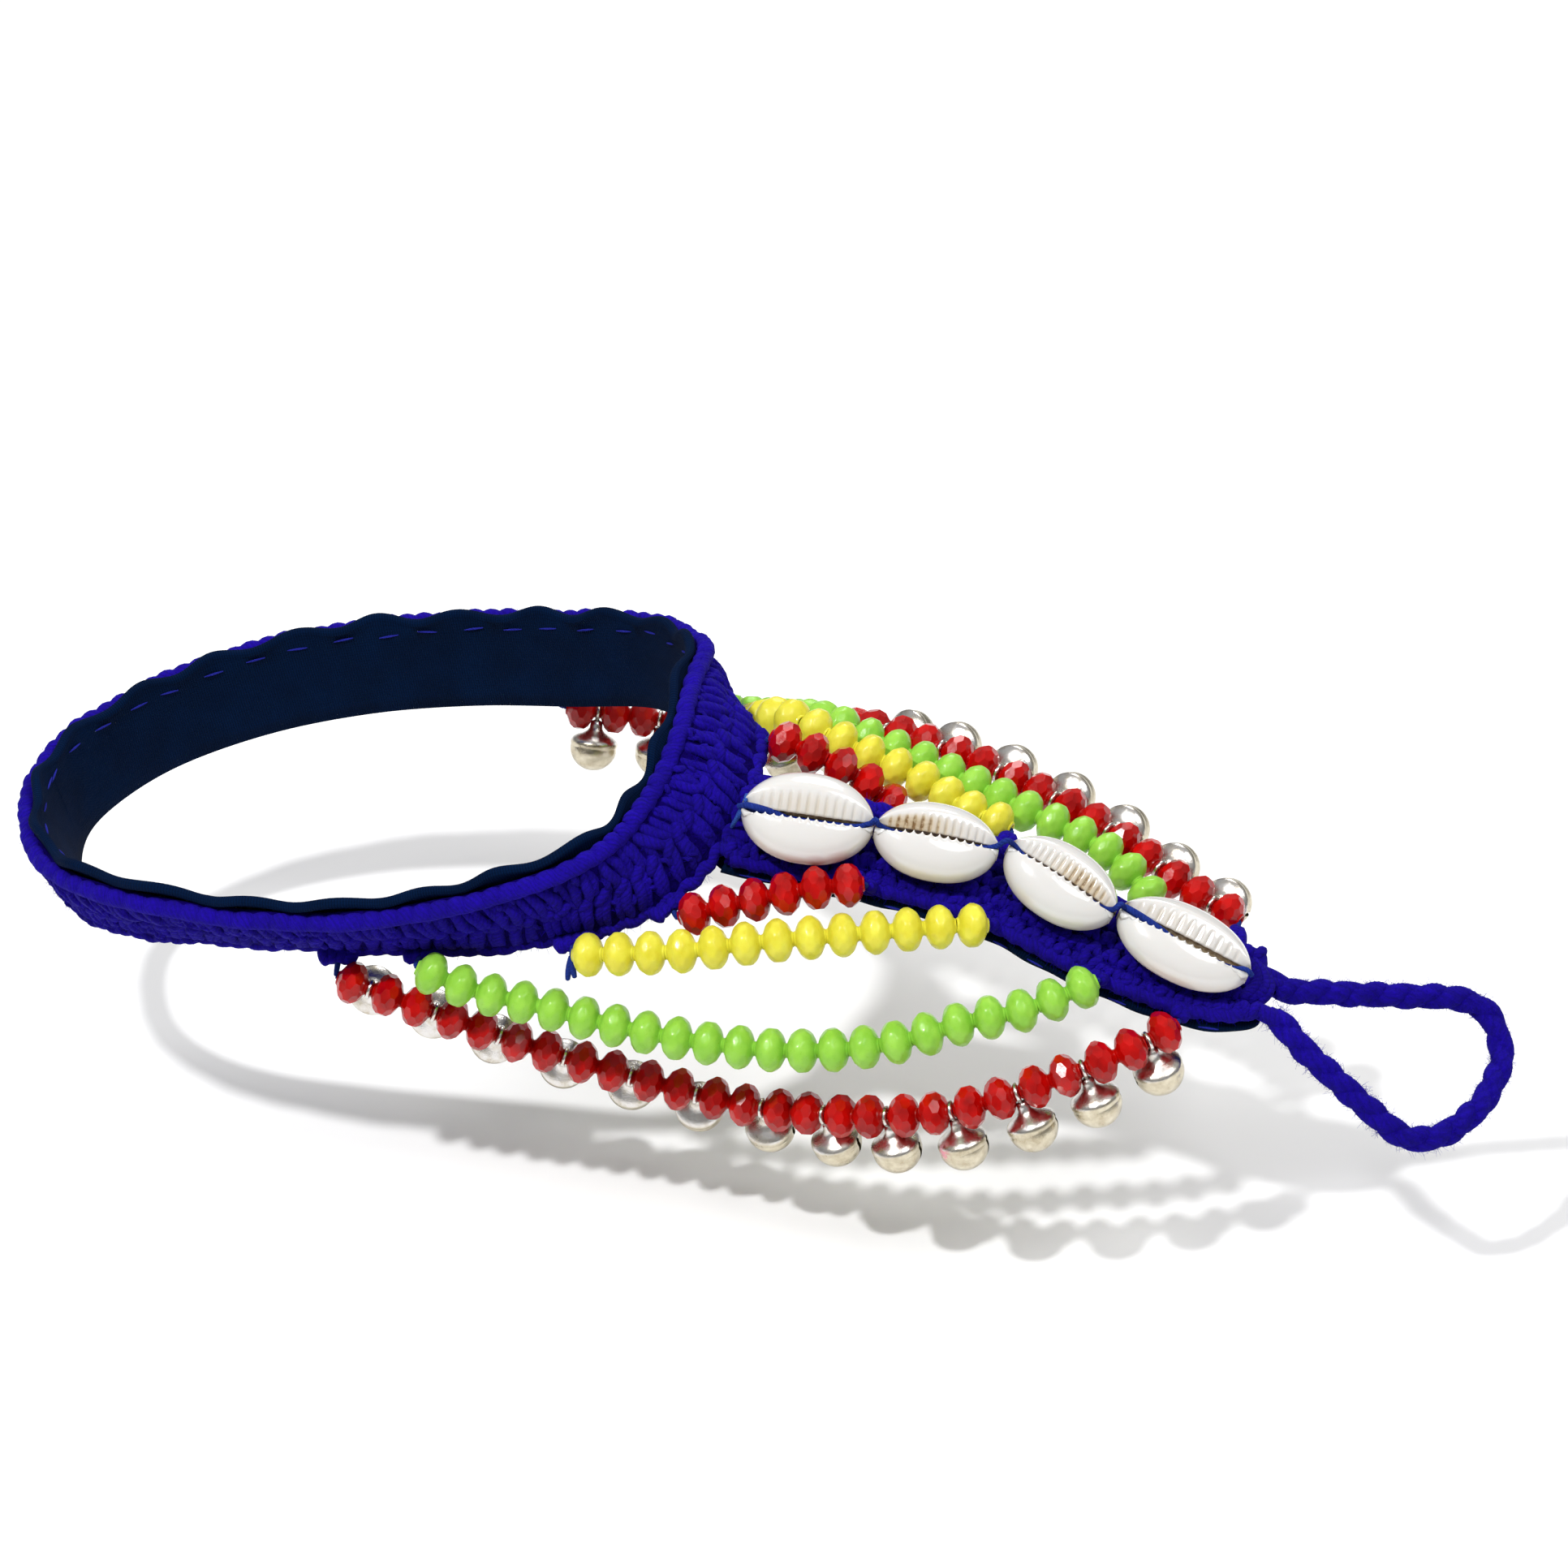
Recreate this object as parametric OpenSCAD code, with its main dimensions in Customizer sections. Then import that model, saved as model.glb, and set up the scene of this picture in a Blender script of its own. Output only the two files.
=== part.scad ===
// Anklet that covers the instep: a crocheted ankle band, an instep strap that
// carries four cowrie shells, a cord loop for the big toe, and on each side four
// strings of beads, the outermost hung with bells.
// +X runs to the toes, +Y to the outer side and +Z up. The origin is the middle of
// the ankle opening. Lengths are in millimetres, angles in degrees.

/* [Ankle band] */
// Width of the crocheted band, from edge to edge
band_w = 16.5; // [15:0.5:18]
// Thickness of the crocheted band
band_t = 3.2; // [2.6:0.1:3.6]

/* [Instep strap] */
// Width of the crocheted strap
strap_w = 16; // [14:0.5:17]
// Thickness of the crocheted strap
strap_t = 3; // [2.4:0.1:3.4]

/* [Lining] */
// Thickness of the lining cloth
lining_t = 1; // [1:0.1:1.2]
// How far the lining stands above the top edge of the band
lining_stand = 1.6; // [1:0.1:2.2]
// Height of the ripples along the lining's top edge
lining_ripple = 0.7; // [0:0.1:1]
// How far the lining shows past the edges of the strap
lining_margin = 0.6; // [0:0.1:1]

/* [Toe loop] */
// Thickness of the loop's cord
loop_d = 4.2; // [3.6:0.1:5]

/* [Beads] */
// Diameter of a bead
bead_d = 7; // [6:0.1:7.2]
// Thickness of a bead, along its string
bead_t = 4.5; // [4.2:0.1:4.6]
// Diameter of a bead's hole
bead_bore = 1.7; // [1.5:0.1:2]
// Thickness of the thread inside a string of beads
thread_d = 0.7; // [0.5:0.1:0.9]

/* [Bells] */
// Diameter of a bell
bell_d = 8; // [7:0.1:8.2]
// Thickness of the bell's sheet metal
bell_wall = 0.5; // [0.4:0.1:0.8]
// Width of the slit between the two halves of a bell
bell_slit = 0.7; // [0.4:0.1:1]
// Thickness of the flat eye that the thread passes through
eye_t = 0.8; // [0.6:0.1:0.9]
// Outer diameter of the eye
eye_d = 3.4; // [3:0.1:3.6]

/* [Cowrie shells] */
// Height of a shell above the strap
shell_h = 7.5; // [6:0.5:9]
// Thickness of the cord that ties the shells down
shell_cord_d = 0.9; // [0.8:0.1:1]

/* [Hidden] */
// Gap between two pieces that are sewn face to face
seam = 0.3;
// Gap between pieces that rest on or hang from each other
rest_gap = 0.2;

crochet_blue = [0.1, 0, 0.63];
lining_blue = [0.02, 0.16, 0.29];
thread_blue = [0.05, 0.1, 0.4];
bead_red = [0.78, 0.07, 0.05];
bead_yellow = [0.92, 0.88, 0.2];
bead_green = [0.48, 0.85, 0.2];
bell_silver = [0.82, 0.81, 0.76];
shell_ivory = [0.93, 0.91, 0.86];

// Course of the ankle band: the middle of the face where it meets its lining, and
// how far its top edge leans outwards. It starts at the heel and runs round by the
// inner side. Columns: x, y, z, lean
band_course = [
    [-56.5, 0, -9.2, 16],
    [-52.3, -14.5, -9, 24],
    [-43.5, -25, -7.2, 31],
    [-31, -31.5, -4.4, 35],
    [-15, -34, -3, 40],
    [0, -34.5, -1.7, 39],
    [13, -34, 0, 32],
    [25, -33.5, 2.6, 22],
    [36, -32, 6, 10],
    [45.5, -27.5, 9, -16],
    [51.9, -20.5, 14, -42],
    [55.2, -11, 20, -58],
    [54.3, 0, 21.7, -50],
    [51.5, 9.5, 19.5, -20],
    [46, 21, 14.8, -10],
    [36.5, 31, 11, -5],
    [22, 35.5, 7, 0],
    [5, 37.5, 4, 0],
    [-13, 36.5, 1, 0],
    [-30, 32.5, -2.5, 0],
    [-45, 24, -6, 0],
    [-54.5, 12, -8.4, 8]
];

// Course of the instep strap: the middle of the face where it meets its lining, and
// how far it tilts to the inner side. Columns: x, y, z, tilt
strap_course = [
    [65, -16.8, 12.3, 33],
    [73, -17, 11.2, 31],
    [86, -17, 9.2, 27],
    [102, -17.4, 5.4, 23],
    [119, -20.4, -0.6, 22],
    [133, -21.6, -4.6, 21],
    [145, -20.7, -6.6, 17]
];

// Cowrie shells on the strap. Columns: distance along the strap, distance from its
// middle to the outer side, turn, length, width
shells = [
    [6.6, 0.4, 5, 21, 15.4],
    [26.4, 0.9, 6, 19.8, 13.6],
    [46.2, 2.4, -6, 19.8, 13.4],
    [68.2, 1.2, -10, 22.6, 13.8]
];

// Course of the toe loop, from the outer corner of the strap's end to the inner
// one. Columns: x, y, z
loop_course = [
    [146.4, -19.4, -6.9],
    [149.4, -18.2, -7.6],
    [153.5, -16.4, -8.6],
    [158.5, -13.8, -10.1],
    [165, -11.2, -11.4],
    [172, -8.8, -12.5],
    [176.5, -7, -14],
    [180, -7.3, -16.4],
    [182, -10.5, -18.8],
    [182.3, -15, -21],
    [179.8, -23.2, -22.6],
    [175.5, -29.4, -23.5],
    [171, -32.5, -23.3],
    [166.8, -33.4, -21],
    [160.3, -32.3, -16],
    [153.5, -30.3, -11.1],
    [149.4, -27.6, -8.6],
    [146.6, -25.2, -7.4]
];

// Courses of the strings, from the band to the strap. Columns: x, y, z
near_red_course = [
    [52, -31.6, 3], [58.2, -30.7, 5.3], [64.4, -30.2, 7.4], [71.6, -29.6, 9.6], [76.2, -29, 10.6], [84.6, -27.4, 11.4]
];
near_yellow_course = [
    [36.8, -37.5, -1.2], [44.9, -38, 0.4], [55, -38, 2.1], [68.9, -36, 4.3], [84.8, -32.8, 5.7],
    [98.8, -29.4, 6.4], [103.2, -27.6, 5.2]
];
near_green_course = [
    [11.7, -37.6, -5.8], [21.6, -37.9, -9.2], [32, -38, -11], [52, -39.5, -13.2], [71.5, -40.5, -13],
    [87.5, -40.5, -10], [100.5, -38, -5.8], [110, -35.8, -3.5], [121, -31.2, 0.4]
];
far_red_course = [
    [63.6, -2.9, 21], [66.2, -4, 20.5], [72, -5.3, 19.2], [77.8, -5.4, 16.2], [82, -5, 12.5], [84.9, -5.2, 8.5],
    [86.6, -5.4, 5.4]
];
far_yellow_course = [
    [52.8, 25.8, 3.1], [55.2, 22.4, 6.2], [58.7, 16.6, 11], [62.4, 11.6, 15], [66.8, 8, 16.6],
    [72.5, 5.4, 15.9], [80, 3.5, 13.9], [87.5, 1, 12.2], [95.5, -3.9, 10.9], [100.6, -5.6, 10.1],
    [104.4, -7, 9.2]
];
far_green_course = [
    [37.6, 40.6, -3.4], [46, 38.4, -2.4], [54.6, 33, 1], [61.9, 26, 5.6], [66.8, 19, 10.4],
    [72, 14.4, 12.6], [77.7, 12, 12], [86.6, 9.3, 10.4], [95.2, 5.8, 9.2], [104, 1.8, 8],
    [112.4, -1.3, 6.6], [118.5, -4.2, 5], [123.2, -7.8, 2.9], [127, -11.2, 0.4]
];

// Courses of the strings with bells, and how far the bells swing outwards from
// hanging straight down. Columns: x, y, z, swing
near_bell_course = [
    [-1.6, -35, -11.4, -53], [14, -35.5, -15.8, -48], [31, -34.2, -22, -42], [50, -34.5, -26.2, -38],
    [68, -36.5, -27.5, -26], [86, -41, -23.6, -6], [101, -42.5, -19, 8], [116, -40.3, -12.6, 12],
    [126, -36.5, -8.9, 5], [133.5, -31.8, -6, 0]
];
far_bell_course = [
    [18.8, 44, -7.7, -30], [28, 45.5, -9, -20], [40, 45.5, -9.5, -5], [52, 42.5, -7.5, 10],
    [61.8, 36.8, -3.4, 25], [69, 30, 2.2, 42], [75.6, 24, 6.4, 58], [83, 19.8, 7.9, 66],
    [92, 16.2, 7.6, 70], [101.4, 12.4, 6.3, 72], [110.6, 8.2, 4.9, 72], [119.6, 3.4, 2.9, 72],
    [127.2, -1.1, 0.4, 72], [134, -4.8, -1.4, 70], [140.6, -8, -2.8, 62]
];

// The strings of a side. Columns: kind, course, number of beads, distance between the
// middles of neighbouring beads or, on a string with bells, of neighbouring bells, colour
near_strings = [
    ["red", near_red_course, 6, 5, bead_red],
    ["yellow", near_yellow_course, 13, 5.05, bead_yellow],
    ["green", near_green_course, 22, 5.05, bead_green],
    ["bell", near_bell_course, 26, 10.95, bead_red]
];
far_strings = [
    ["red", far_red_course, 6, 4.9, bead_red],
    ["yellow", far_yellow_course, 13, 4.95, bead_yellow],
    ["green", far_green_course, 22, 4.95, bead_green],
    ["bell", far_bell_course, 26, 10.7, bead_red]
];

// Sides of the anklet. Columns: name, strings, way that the bells swing along Y
sides = [["near", near_strings, -1], ["far", far_strings, 1]];

// One bell hangs between every two beads of a string with bells
bell_string = 3;
bell_count = near_strings[bell_string][2] / 2;

// Vector of length one in the same direction
function unit(v) = v / norm(v);

// First three columns of a row
function place(r) = [r[0], r[1], r[2]];

// Smooth curve through four rows, between the second and the third
function blend_rows(a, b, c, d, t) =
    0.5 * (2 * b + (c - a) * t + (2 * a - 5 * b + 4 * c - d) * t * t + (3 * b - a - 3 * c + d) * t * t * t);

// Row of a course, also past its ends: round again on a closed one, straight on otherwise
function row(course, i, closed) =
    let (n = len(course))
    closed ? course[(i + n) % n] :
    i < 0 ? 2 * course[0] - course[1] :
    i >= n ? 2 * course[n - 1] - course[n - 2] :
    course[i];

// Smooth curve through all rows of a course
function smooth(course, steps, closed = false) = [
    for (i = [0 : len(course) - (closed ? 1 : 2)], j = [0 : steps - 1])
        blend_rows(
            row(course, i - 1, closed), row(course, i, closed),
            row(course, i + 1, closed), row(course, i + 2, closed), j / steps
        ),
    if (!closed) course[len(course) - 1]
];

// Distances of the points of a path from its start
function distances(path) = [
    for (
        i = 0, s = 0;
        i < len(path);
        s = s + norm(place(path[min(i + 1, len(path) - 1)]) - place(path[i])), i = i + 1
    ) s
];

// Value of every column at a distance along a path
function at(path, marks, s) = [
    for (k = [0 : len(path[0]) - 1]) lookup(s, [for (i = [0 : len(path) - 1]) [marks[i], path[i][k]]])
];

// Direction of a path at a distance along it
function heading(path, marks, s) =
    unit(place(at(path, marks, s + 0.5)) - place(at(path, marks, s - 0.5)));

// Direction of a path at one of its points
function heading_at(path, i, closed) =
    let (n = len(path))
    unit(place(path[closed ? (i + 1) % n : min(i + 1, n - 1)]) -
        place(path[closed ? (i + n - 1) % n : max(i - 1, 0)]));

// Directions of the upright band: along it, up its face and out of it
function band_frame(along, lean) =
    let (out = unit(cross(along, [0, 0, 1])), up = cross(out, along))
    [along, up * cos(lean) + out * sin(lean), out * cos(lean) - up * sin(lean)];

// Directions of the lying strap: along it, across to the outer side and out of it
function strap_directions(along, tilt) =
    let (across = unit(cross([0, 0, 1], along)), up = cross(along, across))
    [along, across * cos(tilt) + up * sin(tilt), up * cos(tilt) - across * sin(tilt)];

// Outline of a strip's section with cut corners, as distances across and out
function section(low, high, inner, outer, cut) = [
    [high, outer - cut], [high - cut, outer], [low + cut, outer], [low, outer - cut],
    [low, inner + cut], [low + cut, inner], [0, inner], [high - cut, inner], [high, inner + cut]
];

// Plain outline of a thin strip's section
function thin_section(low, high, inner, outer) = [
    [high, outer], [0, outer], [low, outer], [low, inner], [0, inner], [high, inner]
];

// Outline set in place, across the second direction and out along the third
function placed(centre, f, outline) = [for (p = outline) centre + f[1] * p[0] + f[2] * p[1]];

// Solid through a row of outlines with the same number of points. A lining is lofted
// mirrored, so that its facets follow those of the strip it is sewn to
module loft(rings, closed = false, mirrored = false) {
    n = len(rings);
    m = len(rings[0]);
    faces = [
        for (i = [0 : n - (closed ? 1 : 2)], j = [0 : m - 1])
            let (a = i * m, b = ((i + 1) % n) * m, k = (j + 1) % m)
            each mirrored ?
                [[a + j, b + j, a + k], [b + j, b + k, a + k]] :
                [[a + j, b + j, b + k], [a + j, b + k, a + k]]
    ];
    ends = closed ? [] : [[for (j = [0 : m - 1]) j], [for (j = [m - 1 : -1 : 0]) (n - 1) * m + j]];
    polyhedron([for (r = rings) each r], concat(faces, ends), convexity = 8);
}

// Round tube along a path
module tube(path, d, sides) {
    loft([
        for (i = [0 : len(path) - 1])
            let (along = heading_at(path, i, false), u = unit(cross([0, 0, 1], along)), v = cross(along, u))
            [for (k = [0 : sides - 1])
                place(path[i]) + d / 2 * (u * cos(360 * k / sides) + v * sin(360 * k / sides))]
    ]);
}

// Moves a part to a place, with its own axes turned to three directions
module put(centre, x, y, z) {
    multmatrix([
        [x[0], y[0], z[0], centre[0]],
        [x[1], y[1], z[1], centre[1]],
        [x[2], y[2], z[2], centre[2]]
    ])
        children();
}

// Sections of the band and its lining between two rows of the course
band_steps = 6;

// Crocheted ankle band, a closed strip
module band() {
    path = smooth(band_course, band_steps, closed = true);
    edge = 0.9;
    color(crochet_blue)
        loft([
            for (i = [0 : len(path) - 1])
                placed(
                    place(path[i]),
                    band_frame(heading_at(path, i, true), path[i][3]),
                    section(-band_w / 2, band_w / 2, seam / 2, seam / 2 + band_t, edge)
                )
        ], closed = true);
}

// Cloth lining of the band, which stands above its top edge in small ripples
module band_lining() {
    path = smooth(band_course, band_steps, closed = true);
    ripples = 22;
    color(lining_blue)
        loft([
            for (i = [0 : len(path) - 1])
                let (top = band_w / 2 + lining_stand + lining_ripple * sin(360 * ripples * i / len(path)))
                placed(
                    place(path[i]),
                    band_frame(heading_at(path, i, true), path[i][3]),
                    thin_section(-band_w / 2, top, -seam / 2 - lining_t, -seam / 2)
                )
        ], closed = true, mirrored = true);
}

// Place on the strap and the directions there
function strap_frame(s) =
    let (path = smooth(strap_course, 6), marks = distances(path), here = at(path, marks, s))
    concat([place(here)], strap_directions(heading(path, marks, s), here[3]));

function strap_length() = let (marks = distances(smooth(strap_course, 6))) marks[len(marks) - 1];

// Shares of the strap's length at which its sections lie, closer at the round toe end
strap_round = 0.1;
strap_shares = concat(
    [for (k = [0 : 20]) (1 - strap_round) * k / 20],
    [for (a = [18 : 18 : 90]) 1 - strap_round + strap_round * sin(a)]
);

// Half the strap's width at a share of its length
function strap_half(share) =
    let (past = max(0, share - 1 + strap_round) / strap_round)
    strap_w / 2 * (0.55 + 0.45 * sqrt(max(0, 1 - past * past)));

// Points of an outline on the strap at a share of its length. The strap starts along the
// band's slanting lower edge, so its inner side starts further back
strap_slant = 5;
function on_strap(share, outline) =
    let (f = strap_frame(share * strap_length()), slant = share > 0 ? 0 : strap_slant)
    [for (p = outline) f[0] + f[1] * slant * (p[0] / strap_w - 0.5) + f[2] * p[0] + f[3] * p[1]];

// Crocheted instep strap
module strap() {
    edge = 0.8;
    color(crochet_blue)
        loft([
            for (share = strap_shares)
                let (half = strap_half(share))
                on_strap(share, section(-half, half, seam / 2, seam / 2 + strap_t, edge))
        ]);
}

// Cloth lining under the strap, which shows past its edges
module strap_lining() {
    color(lining_blue)
        loft([
            for (share = strap_shares)
                let (half = strap_half(share) + lining_margin)
                on_strap(share, thin_section(-half, half, -seam / 2 - lining_t, -seam / 2))
        ], mirrored = true);
}

// Cord loop for the big toe
module toe_loop() {
    color(crochet_blue) tube(smooth(loop_course, 5), loop_d, 8);
}

// Place and directions of one shell: along it, across it and out of the strap
function shell_frame(i) =
    let (s = shells[i], f = strap_frame(s[0]), turn = s[2])
    [f[0] + f[2] * s[1] + f[3] * (seam / 2 + strap_t + rest_gap),
        f[1] * cos(turn) + f[2] * sin(turn), f[2] * cos(turn) - f[1] * sin(turn), f[3]];

// Shape of a shell along its length, where u runs from -1 to 1
shell_steps = 24;
shell_middle = 0.42 * shell_h;
slit_floor = 0.45 * shell_h;
lip_depth = 1;
function shell_half(u, w) = max(2.3, w / 2 * pow(1 - pow(abs(u), 2.2), 0.55));
function shell_top(u) = shell_h * (0.62 + 0.38 * sqrt(1 - u * u));
function shell_bottom(u) = shell_h * 0.34 * pow(abs(u), 3);

// Half the slit's width at a station: narrower at every second one for the teeth, and
// wide at both ends, where the cord leaves it
function slit_half(u, i) = 0.95 - 0.15 * u + (i % 2 == 0 ? 0.15 : -0.15) + 0.3 * pow(abs(u), 8);

// Outline of a shell at a station: the inner lips and, between them, the outer skin
function shell_ring(u, i, w) =
    let (
        half = shell_half(u, w), slit = slit_half(u, i), lip = shell_top(u) - lip_depth,
        up = shell_top(u) - shell_middle, down = shell_middle - shell_bottom(u)
    )
    concat(
        [[-slit, slit_floor], [-slit, lip]],
        [for (a = [116, 142, 168, 200, 235, 270, 305, 340, 372, 398, 424])
            [half * cos(a), shell_middle + (sin(a) > 0 ? up : down) * sin(a)]],
        [[slit, lip], [slit, slit_floor]]
    );

// One cowrie shell lying on its back, its toothed slit up
module cowrie(i) {
    f = shell_frame(i);
    half_l = shells[i][3] / 2;
    end_share = 0.985;
    color(shell_ivory)
        put(f[0], f[1], f[2], f[3])
            loft([
                for (k = [0 : shell_steps])
                    let (share = 2 * k / shell_steps - 1, u = end_share * (0.7 * share + 0.3 * sin(90 * share)))
                    [for (p = shell_ring(u, k, shells[i][4])) [half_l * u, p[0], p[1]]]
            ]);
}

// Point in a shell's slit, at a share of its length and a height above its base
function in_slit(i, share, height) =
    let (f = shell_frame(i)) f[0] + f[1] * shells[i][3] * share + f[3] * height;

// Cord that runs through the slits of all the shells and ties them down. Between two
// shells it climbs over the ends of both
module shell_cord() {
    low = slit_floor + shell_cord_d / 2 + 2 * rest_gap;
    rising = 5.4;
    high = 6.8;
    last = len(shells) - 1;
    path = [
        for (i = [0 : last])
            each [
                i == 0 ? in_slit(0, -0.5, high) : (in_slit(i - 1, 0.5, high) + in_slit(i, -0.5, high)) / 2,
                in_slit(i, -0.46, rising), in_slit(i, -0.3, low),
                in_slit(i, 0.3, low), in_slit(i, 0.46, rising)
            ],
        in_slit(last, 0.5, high)
    ];
    color(thread_blue) tube(smooth(path, 4), shell_cord_d, 6);
}

// Outline of half a bead. Columns: share of its radius, share of its thickness
bead_outline = [
    [bead_bore / bead_d, -0.5], [0.5, -0.45], [0.78, -0.34], [0.95, -0.18], [1, 0],
    [0.95, 0.18], [0.78, 0.34], [0.5, 0.45], [bead_bore / bead_d, 0.5]
];

// One bead, its hole along Z
module bead() {
    rotate_extrude($fn = 48)
        polygon([for (p = bead_outline) [p[0] * bead_d / 2, p[1] * bead_t]]);
}

// Distance between the two beads that hold a bell's eye
pair_pitch = bead_t + eye_t + 3 * rest_gap;

// Distances along a string of things in its middle, with the same distance between all
function spread(total, count, pitch) = [for (i = [0 : count - 1]) total / 2 + (i - (count - 1) / 2) * pitch];

// Distances along a string of its beads
function bead_marks(s, total) =
    s[0] == "bell" ?
        [for (mark = spread(total, bell_count, s[3]), end = [-0.5, 0.5]) mark + end * pair_pitch] :
        spread(total, s[2], s[3]);

// Points of a string's path between two rows of its course
string_steps = 6;

// All the beads of a string, each with its hole along the string
module beads(s) {
    path = smooth(s[1], string_steps);
    marks = distances(path);
    color(s[4])
        for (mark = bead_marks(s, marks[len(marks) - 1])) {
            z = heading(path, marks, mark);
            x = unit(cross([0, 0, 1], z));
            put(place(at(path, marks, mark)), x, cross(z, x), z) bead();
        }
}

// Thread through a string of beads
module thread(s) {
    color(thread_blue) tube(smooth(s[1], string_steps), thread_d, 4);
}

// Outlines of a bell and of its hollow, below the middle of its eye at the origin
bell_r = bell_d / 2;
bell_drop = bell_r + 2.2;
hollow_r = bell_r - bell_wall;
function arc(r) = [for (a = [-90 : 15 : 0]) [r * cos(a), r * sin(a) - bell_drop]];
bell_outline = concat(
    arc(bell_r),
    [[0.98 * bell_r, -5.2], [0.86 * bell_r, -4.4], [0.6 * bell_r, -3.9], [0.33 * bell_r, -3.4], [0.4, -1.6], [0, -1.6]]
);
hollow_outline = concat(
    arc(hollow_r),
    [[0.84 * bell_r, -5.4], [0.7 * bell_r, -4.8], [0.4 * bell_r, -4.3], [0, -4.2]]
);

// Bell with its eye at the origin, the hole along X and the slit along its underside
module bell() {
    slit_top = -5.2;
    below = -bell_drop - bell_r - 1;
    difference() {
        rotate_extrude($fn = 32) polygon(bell_outline);
        rotate_extrude($fn = 32) polygon(hollow_outline);
        translate([-bell_d, -bell_slit / 2, below]) cube([2 * bell_d, bell_slit, slit_top - below]);
    }
    rotate([0, 90, 0])
        difference() {
            cylinder(h = eye_t, d = eye_d, center = true, $fn = 32);
            cylinder(h = 2 * eye_t, d = bead_bore, center = true, $fn = 32);
        }
}

// One bell between the two beads of its pair
module hung_bell(side, i) {
    s = side[1][bell_string];
    path = smooth(s[1], string_steps);
    marks = distances(path);
    mark = spread(marks[len(marks) - 1], bell_count, s[3])[i];
    x = heading(path, marks, mark);
    here = at(path, marks, mark);
    hang = [0, side[2] * sin(here[3]), -cos(here[3])];
    z = -unit(hang - x * (hang * x));
    color(bell_silver) put(place(here), x, cross(z, x), z) bell();
}

band();
band_lining();
strap();
strap_lining();
toe_loop();
shell_cord();
for (i = [1 : len(shells)])
    cowrie(i - 1);
for (side = sides, s = side[1]) {
    beads(s);
    thread(s);
}
for (side = sides, i = [1 : bell_count])
    hung_bell(side, i - 1);
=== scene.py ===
import itertools

import bpy
import numpy as np
from numpy import cos, cross, pi, radians, sin
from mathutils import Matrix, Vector


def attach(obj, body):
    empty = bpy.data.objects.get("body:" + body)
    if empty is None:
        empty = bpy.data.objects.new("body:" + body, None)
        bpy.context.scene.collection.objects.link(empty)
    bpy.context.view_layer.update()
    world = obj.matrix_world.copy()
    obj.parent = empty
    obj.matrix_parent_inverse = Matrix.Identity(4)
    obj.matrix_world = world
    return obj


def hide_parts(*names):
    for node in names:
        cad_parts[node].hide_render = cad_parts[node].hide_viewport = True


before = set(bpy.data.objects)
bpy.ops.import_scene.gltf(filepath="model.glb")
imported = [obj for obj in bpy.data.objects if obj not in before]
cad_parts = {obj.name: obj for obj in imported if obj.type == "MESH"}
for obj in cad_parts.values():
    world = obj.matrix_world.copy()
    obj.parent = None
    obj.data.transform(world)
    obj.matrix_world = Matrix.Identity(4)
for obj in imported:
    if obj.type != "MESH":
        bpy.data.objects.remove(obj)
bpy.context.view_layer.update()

# Looks of a crocheted anklet with an instep strap, a toe loop, cowrie shells, bead
# strings and bells. Tables and shapes are in millimetres, in the directions of the CAD:
# +X to the toes, +Y to the outer side and +Z up. Meshes are made in metres.
MM = 0.001
UP = np.array([0.0, 0.0, 1.0])
rng = np.random.default_rng(7)

# Camera at the viewing angle of the photograph
VIEW_AZIMUTH = radians(10)
VIEW_ELEVATION = radians(33)
VIEW_DISTANCE = 900
VIEW_TARGET = np.array([65.0, 0.0, 10.0])
IMAGE_SIDE = 1932
MM_PER_PIXEL = 0.13
SENSOR = 36


def make_camera():
    back = Vector((
        sin(VIEW_AZIMUTH) * cos(VIEW_ELEVATION),
        -cos(VIEW_AZIMUTH) * cos(VIEW_ELEVATION),
        sin(VIEW_ELEVATION),
    ))
    data = bpy.data.cameras.new("camera")
    data.sensor_width = SENSOR
    data.lens = SENSOR * VIEW_DISTANCE / (MM_PER_PIXEL * IMAGE_SIDE)
    camera = bpy.data.objects.new("camera", data)
    camera.location = (Vector(VIEW_TARGET) + back * VIEW_DISTANCE) * MM
    camera.rotation_euler = back.to_track_quat("Z", "Y").to_euler()
    bpy.context.scene.collection.objects.link(camera)
    bpy.context.scene.camera = camera


make_camera()

# Sizes that the CAD uses too
BAND_W = 16.5
STRAP_W = 16
STRAP_T = 3
LINING_T = 1
LINING_STAND = 1.6
LINING_RIPPLE = 0.7
LINING_MARGIN = 0.6
RIPPLES = 22
BEAD_D = 7
BEAD_T = 4.5
BEAD_BORE = 1.7
THREAD_D = 0.7
BELL_D = 8
BELL_WALL = 0.5
BELL_SLIT = 0.7
EYE_T = 0.8
EYE_D = 3.4
SHELL_H = 7.5
SHELL_CORD_D = 0.9
SEAM = 0.3
REST_GAP = 0.2
STRAP_ROUND = 0.1
STRAP_SLANT = 5
PAIR_PITCH = BEAD_T + EYE_T + 3 * REST_GAP
BELL_COUNT = 13

# Course of the ankle band from the heel round by the inner side. Columns: x, y, z, lean
BAND_COURSE = [
    [-56.5, 0, -9.2, 16], [-52.3, -14.5, -9, 24], [-43.5, -25, -7.2, 31], [-31, -31.5, -4.4, 35],
    [-15, -34, -3, 40], [0, -34.5, -1.7, 39], [13, -34, 0, 32], [25, -33.5, 2.6, 22],
    [36, -32, 6, 10], [45.5, -27.5, 9, -16], [51.9, -20.5, 14, -42], [55.2, -11, 20, -58],
    [54.3, 0, 21.7, -50], [51.5, 9.5, 19.5, -20], [46, 21, 14.8, -10], [36.5, 31, 11, -5],
    [22, 35.5, 7, 0], [5, 37.5, 4, 0], [-13, 36.5, 1, 0], [-30, 32.5, -2.5, 0],
    [-45, 24, -6, 0], [-54.5, 12, -8.4, 8],
]

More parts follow.
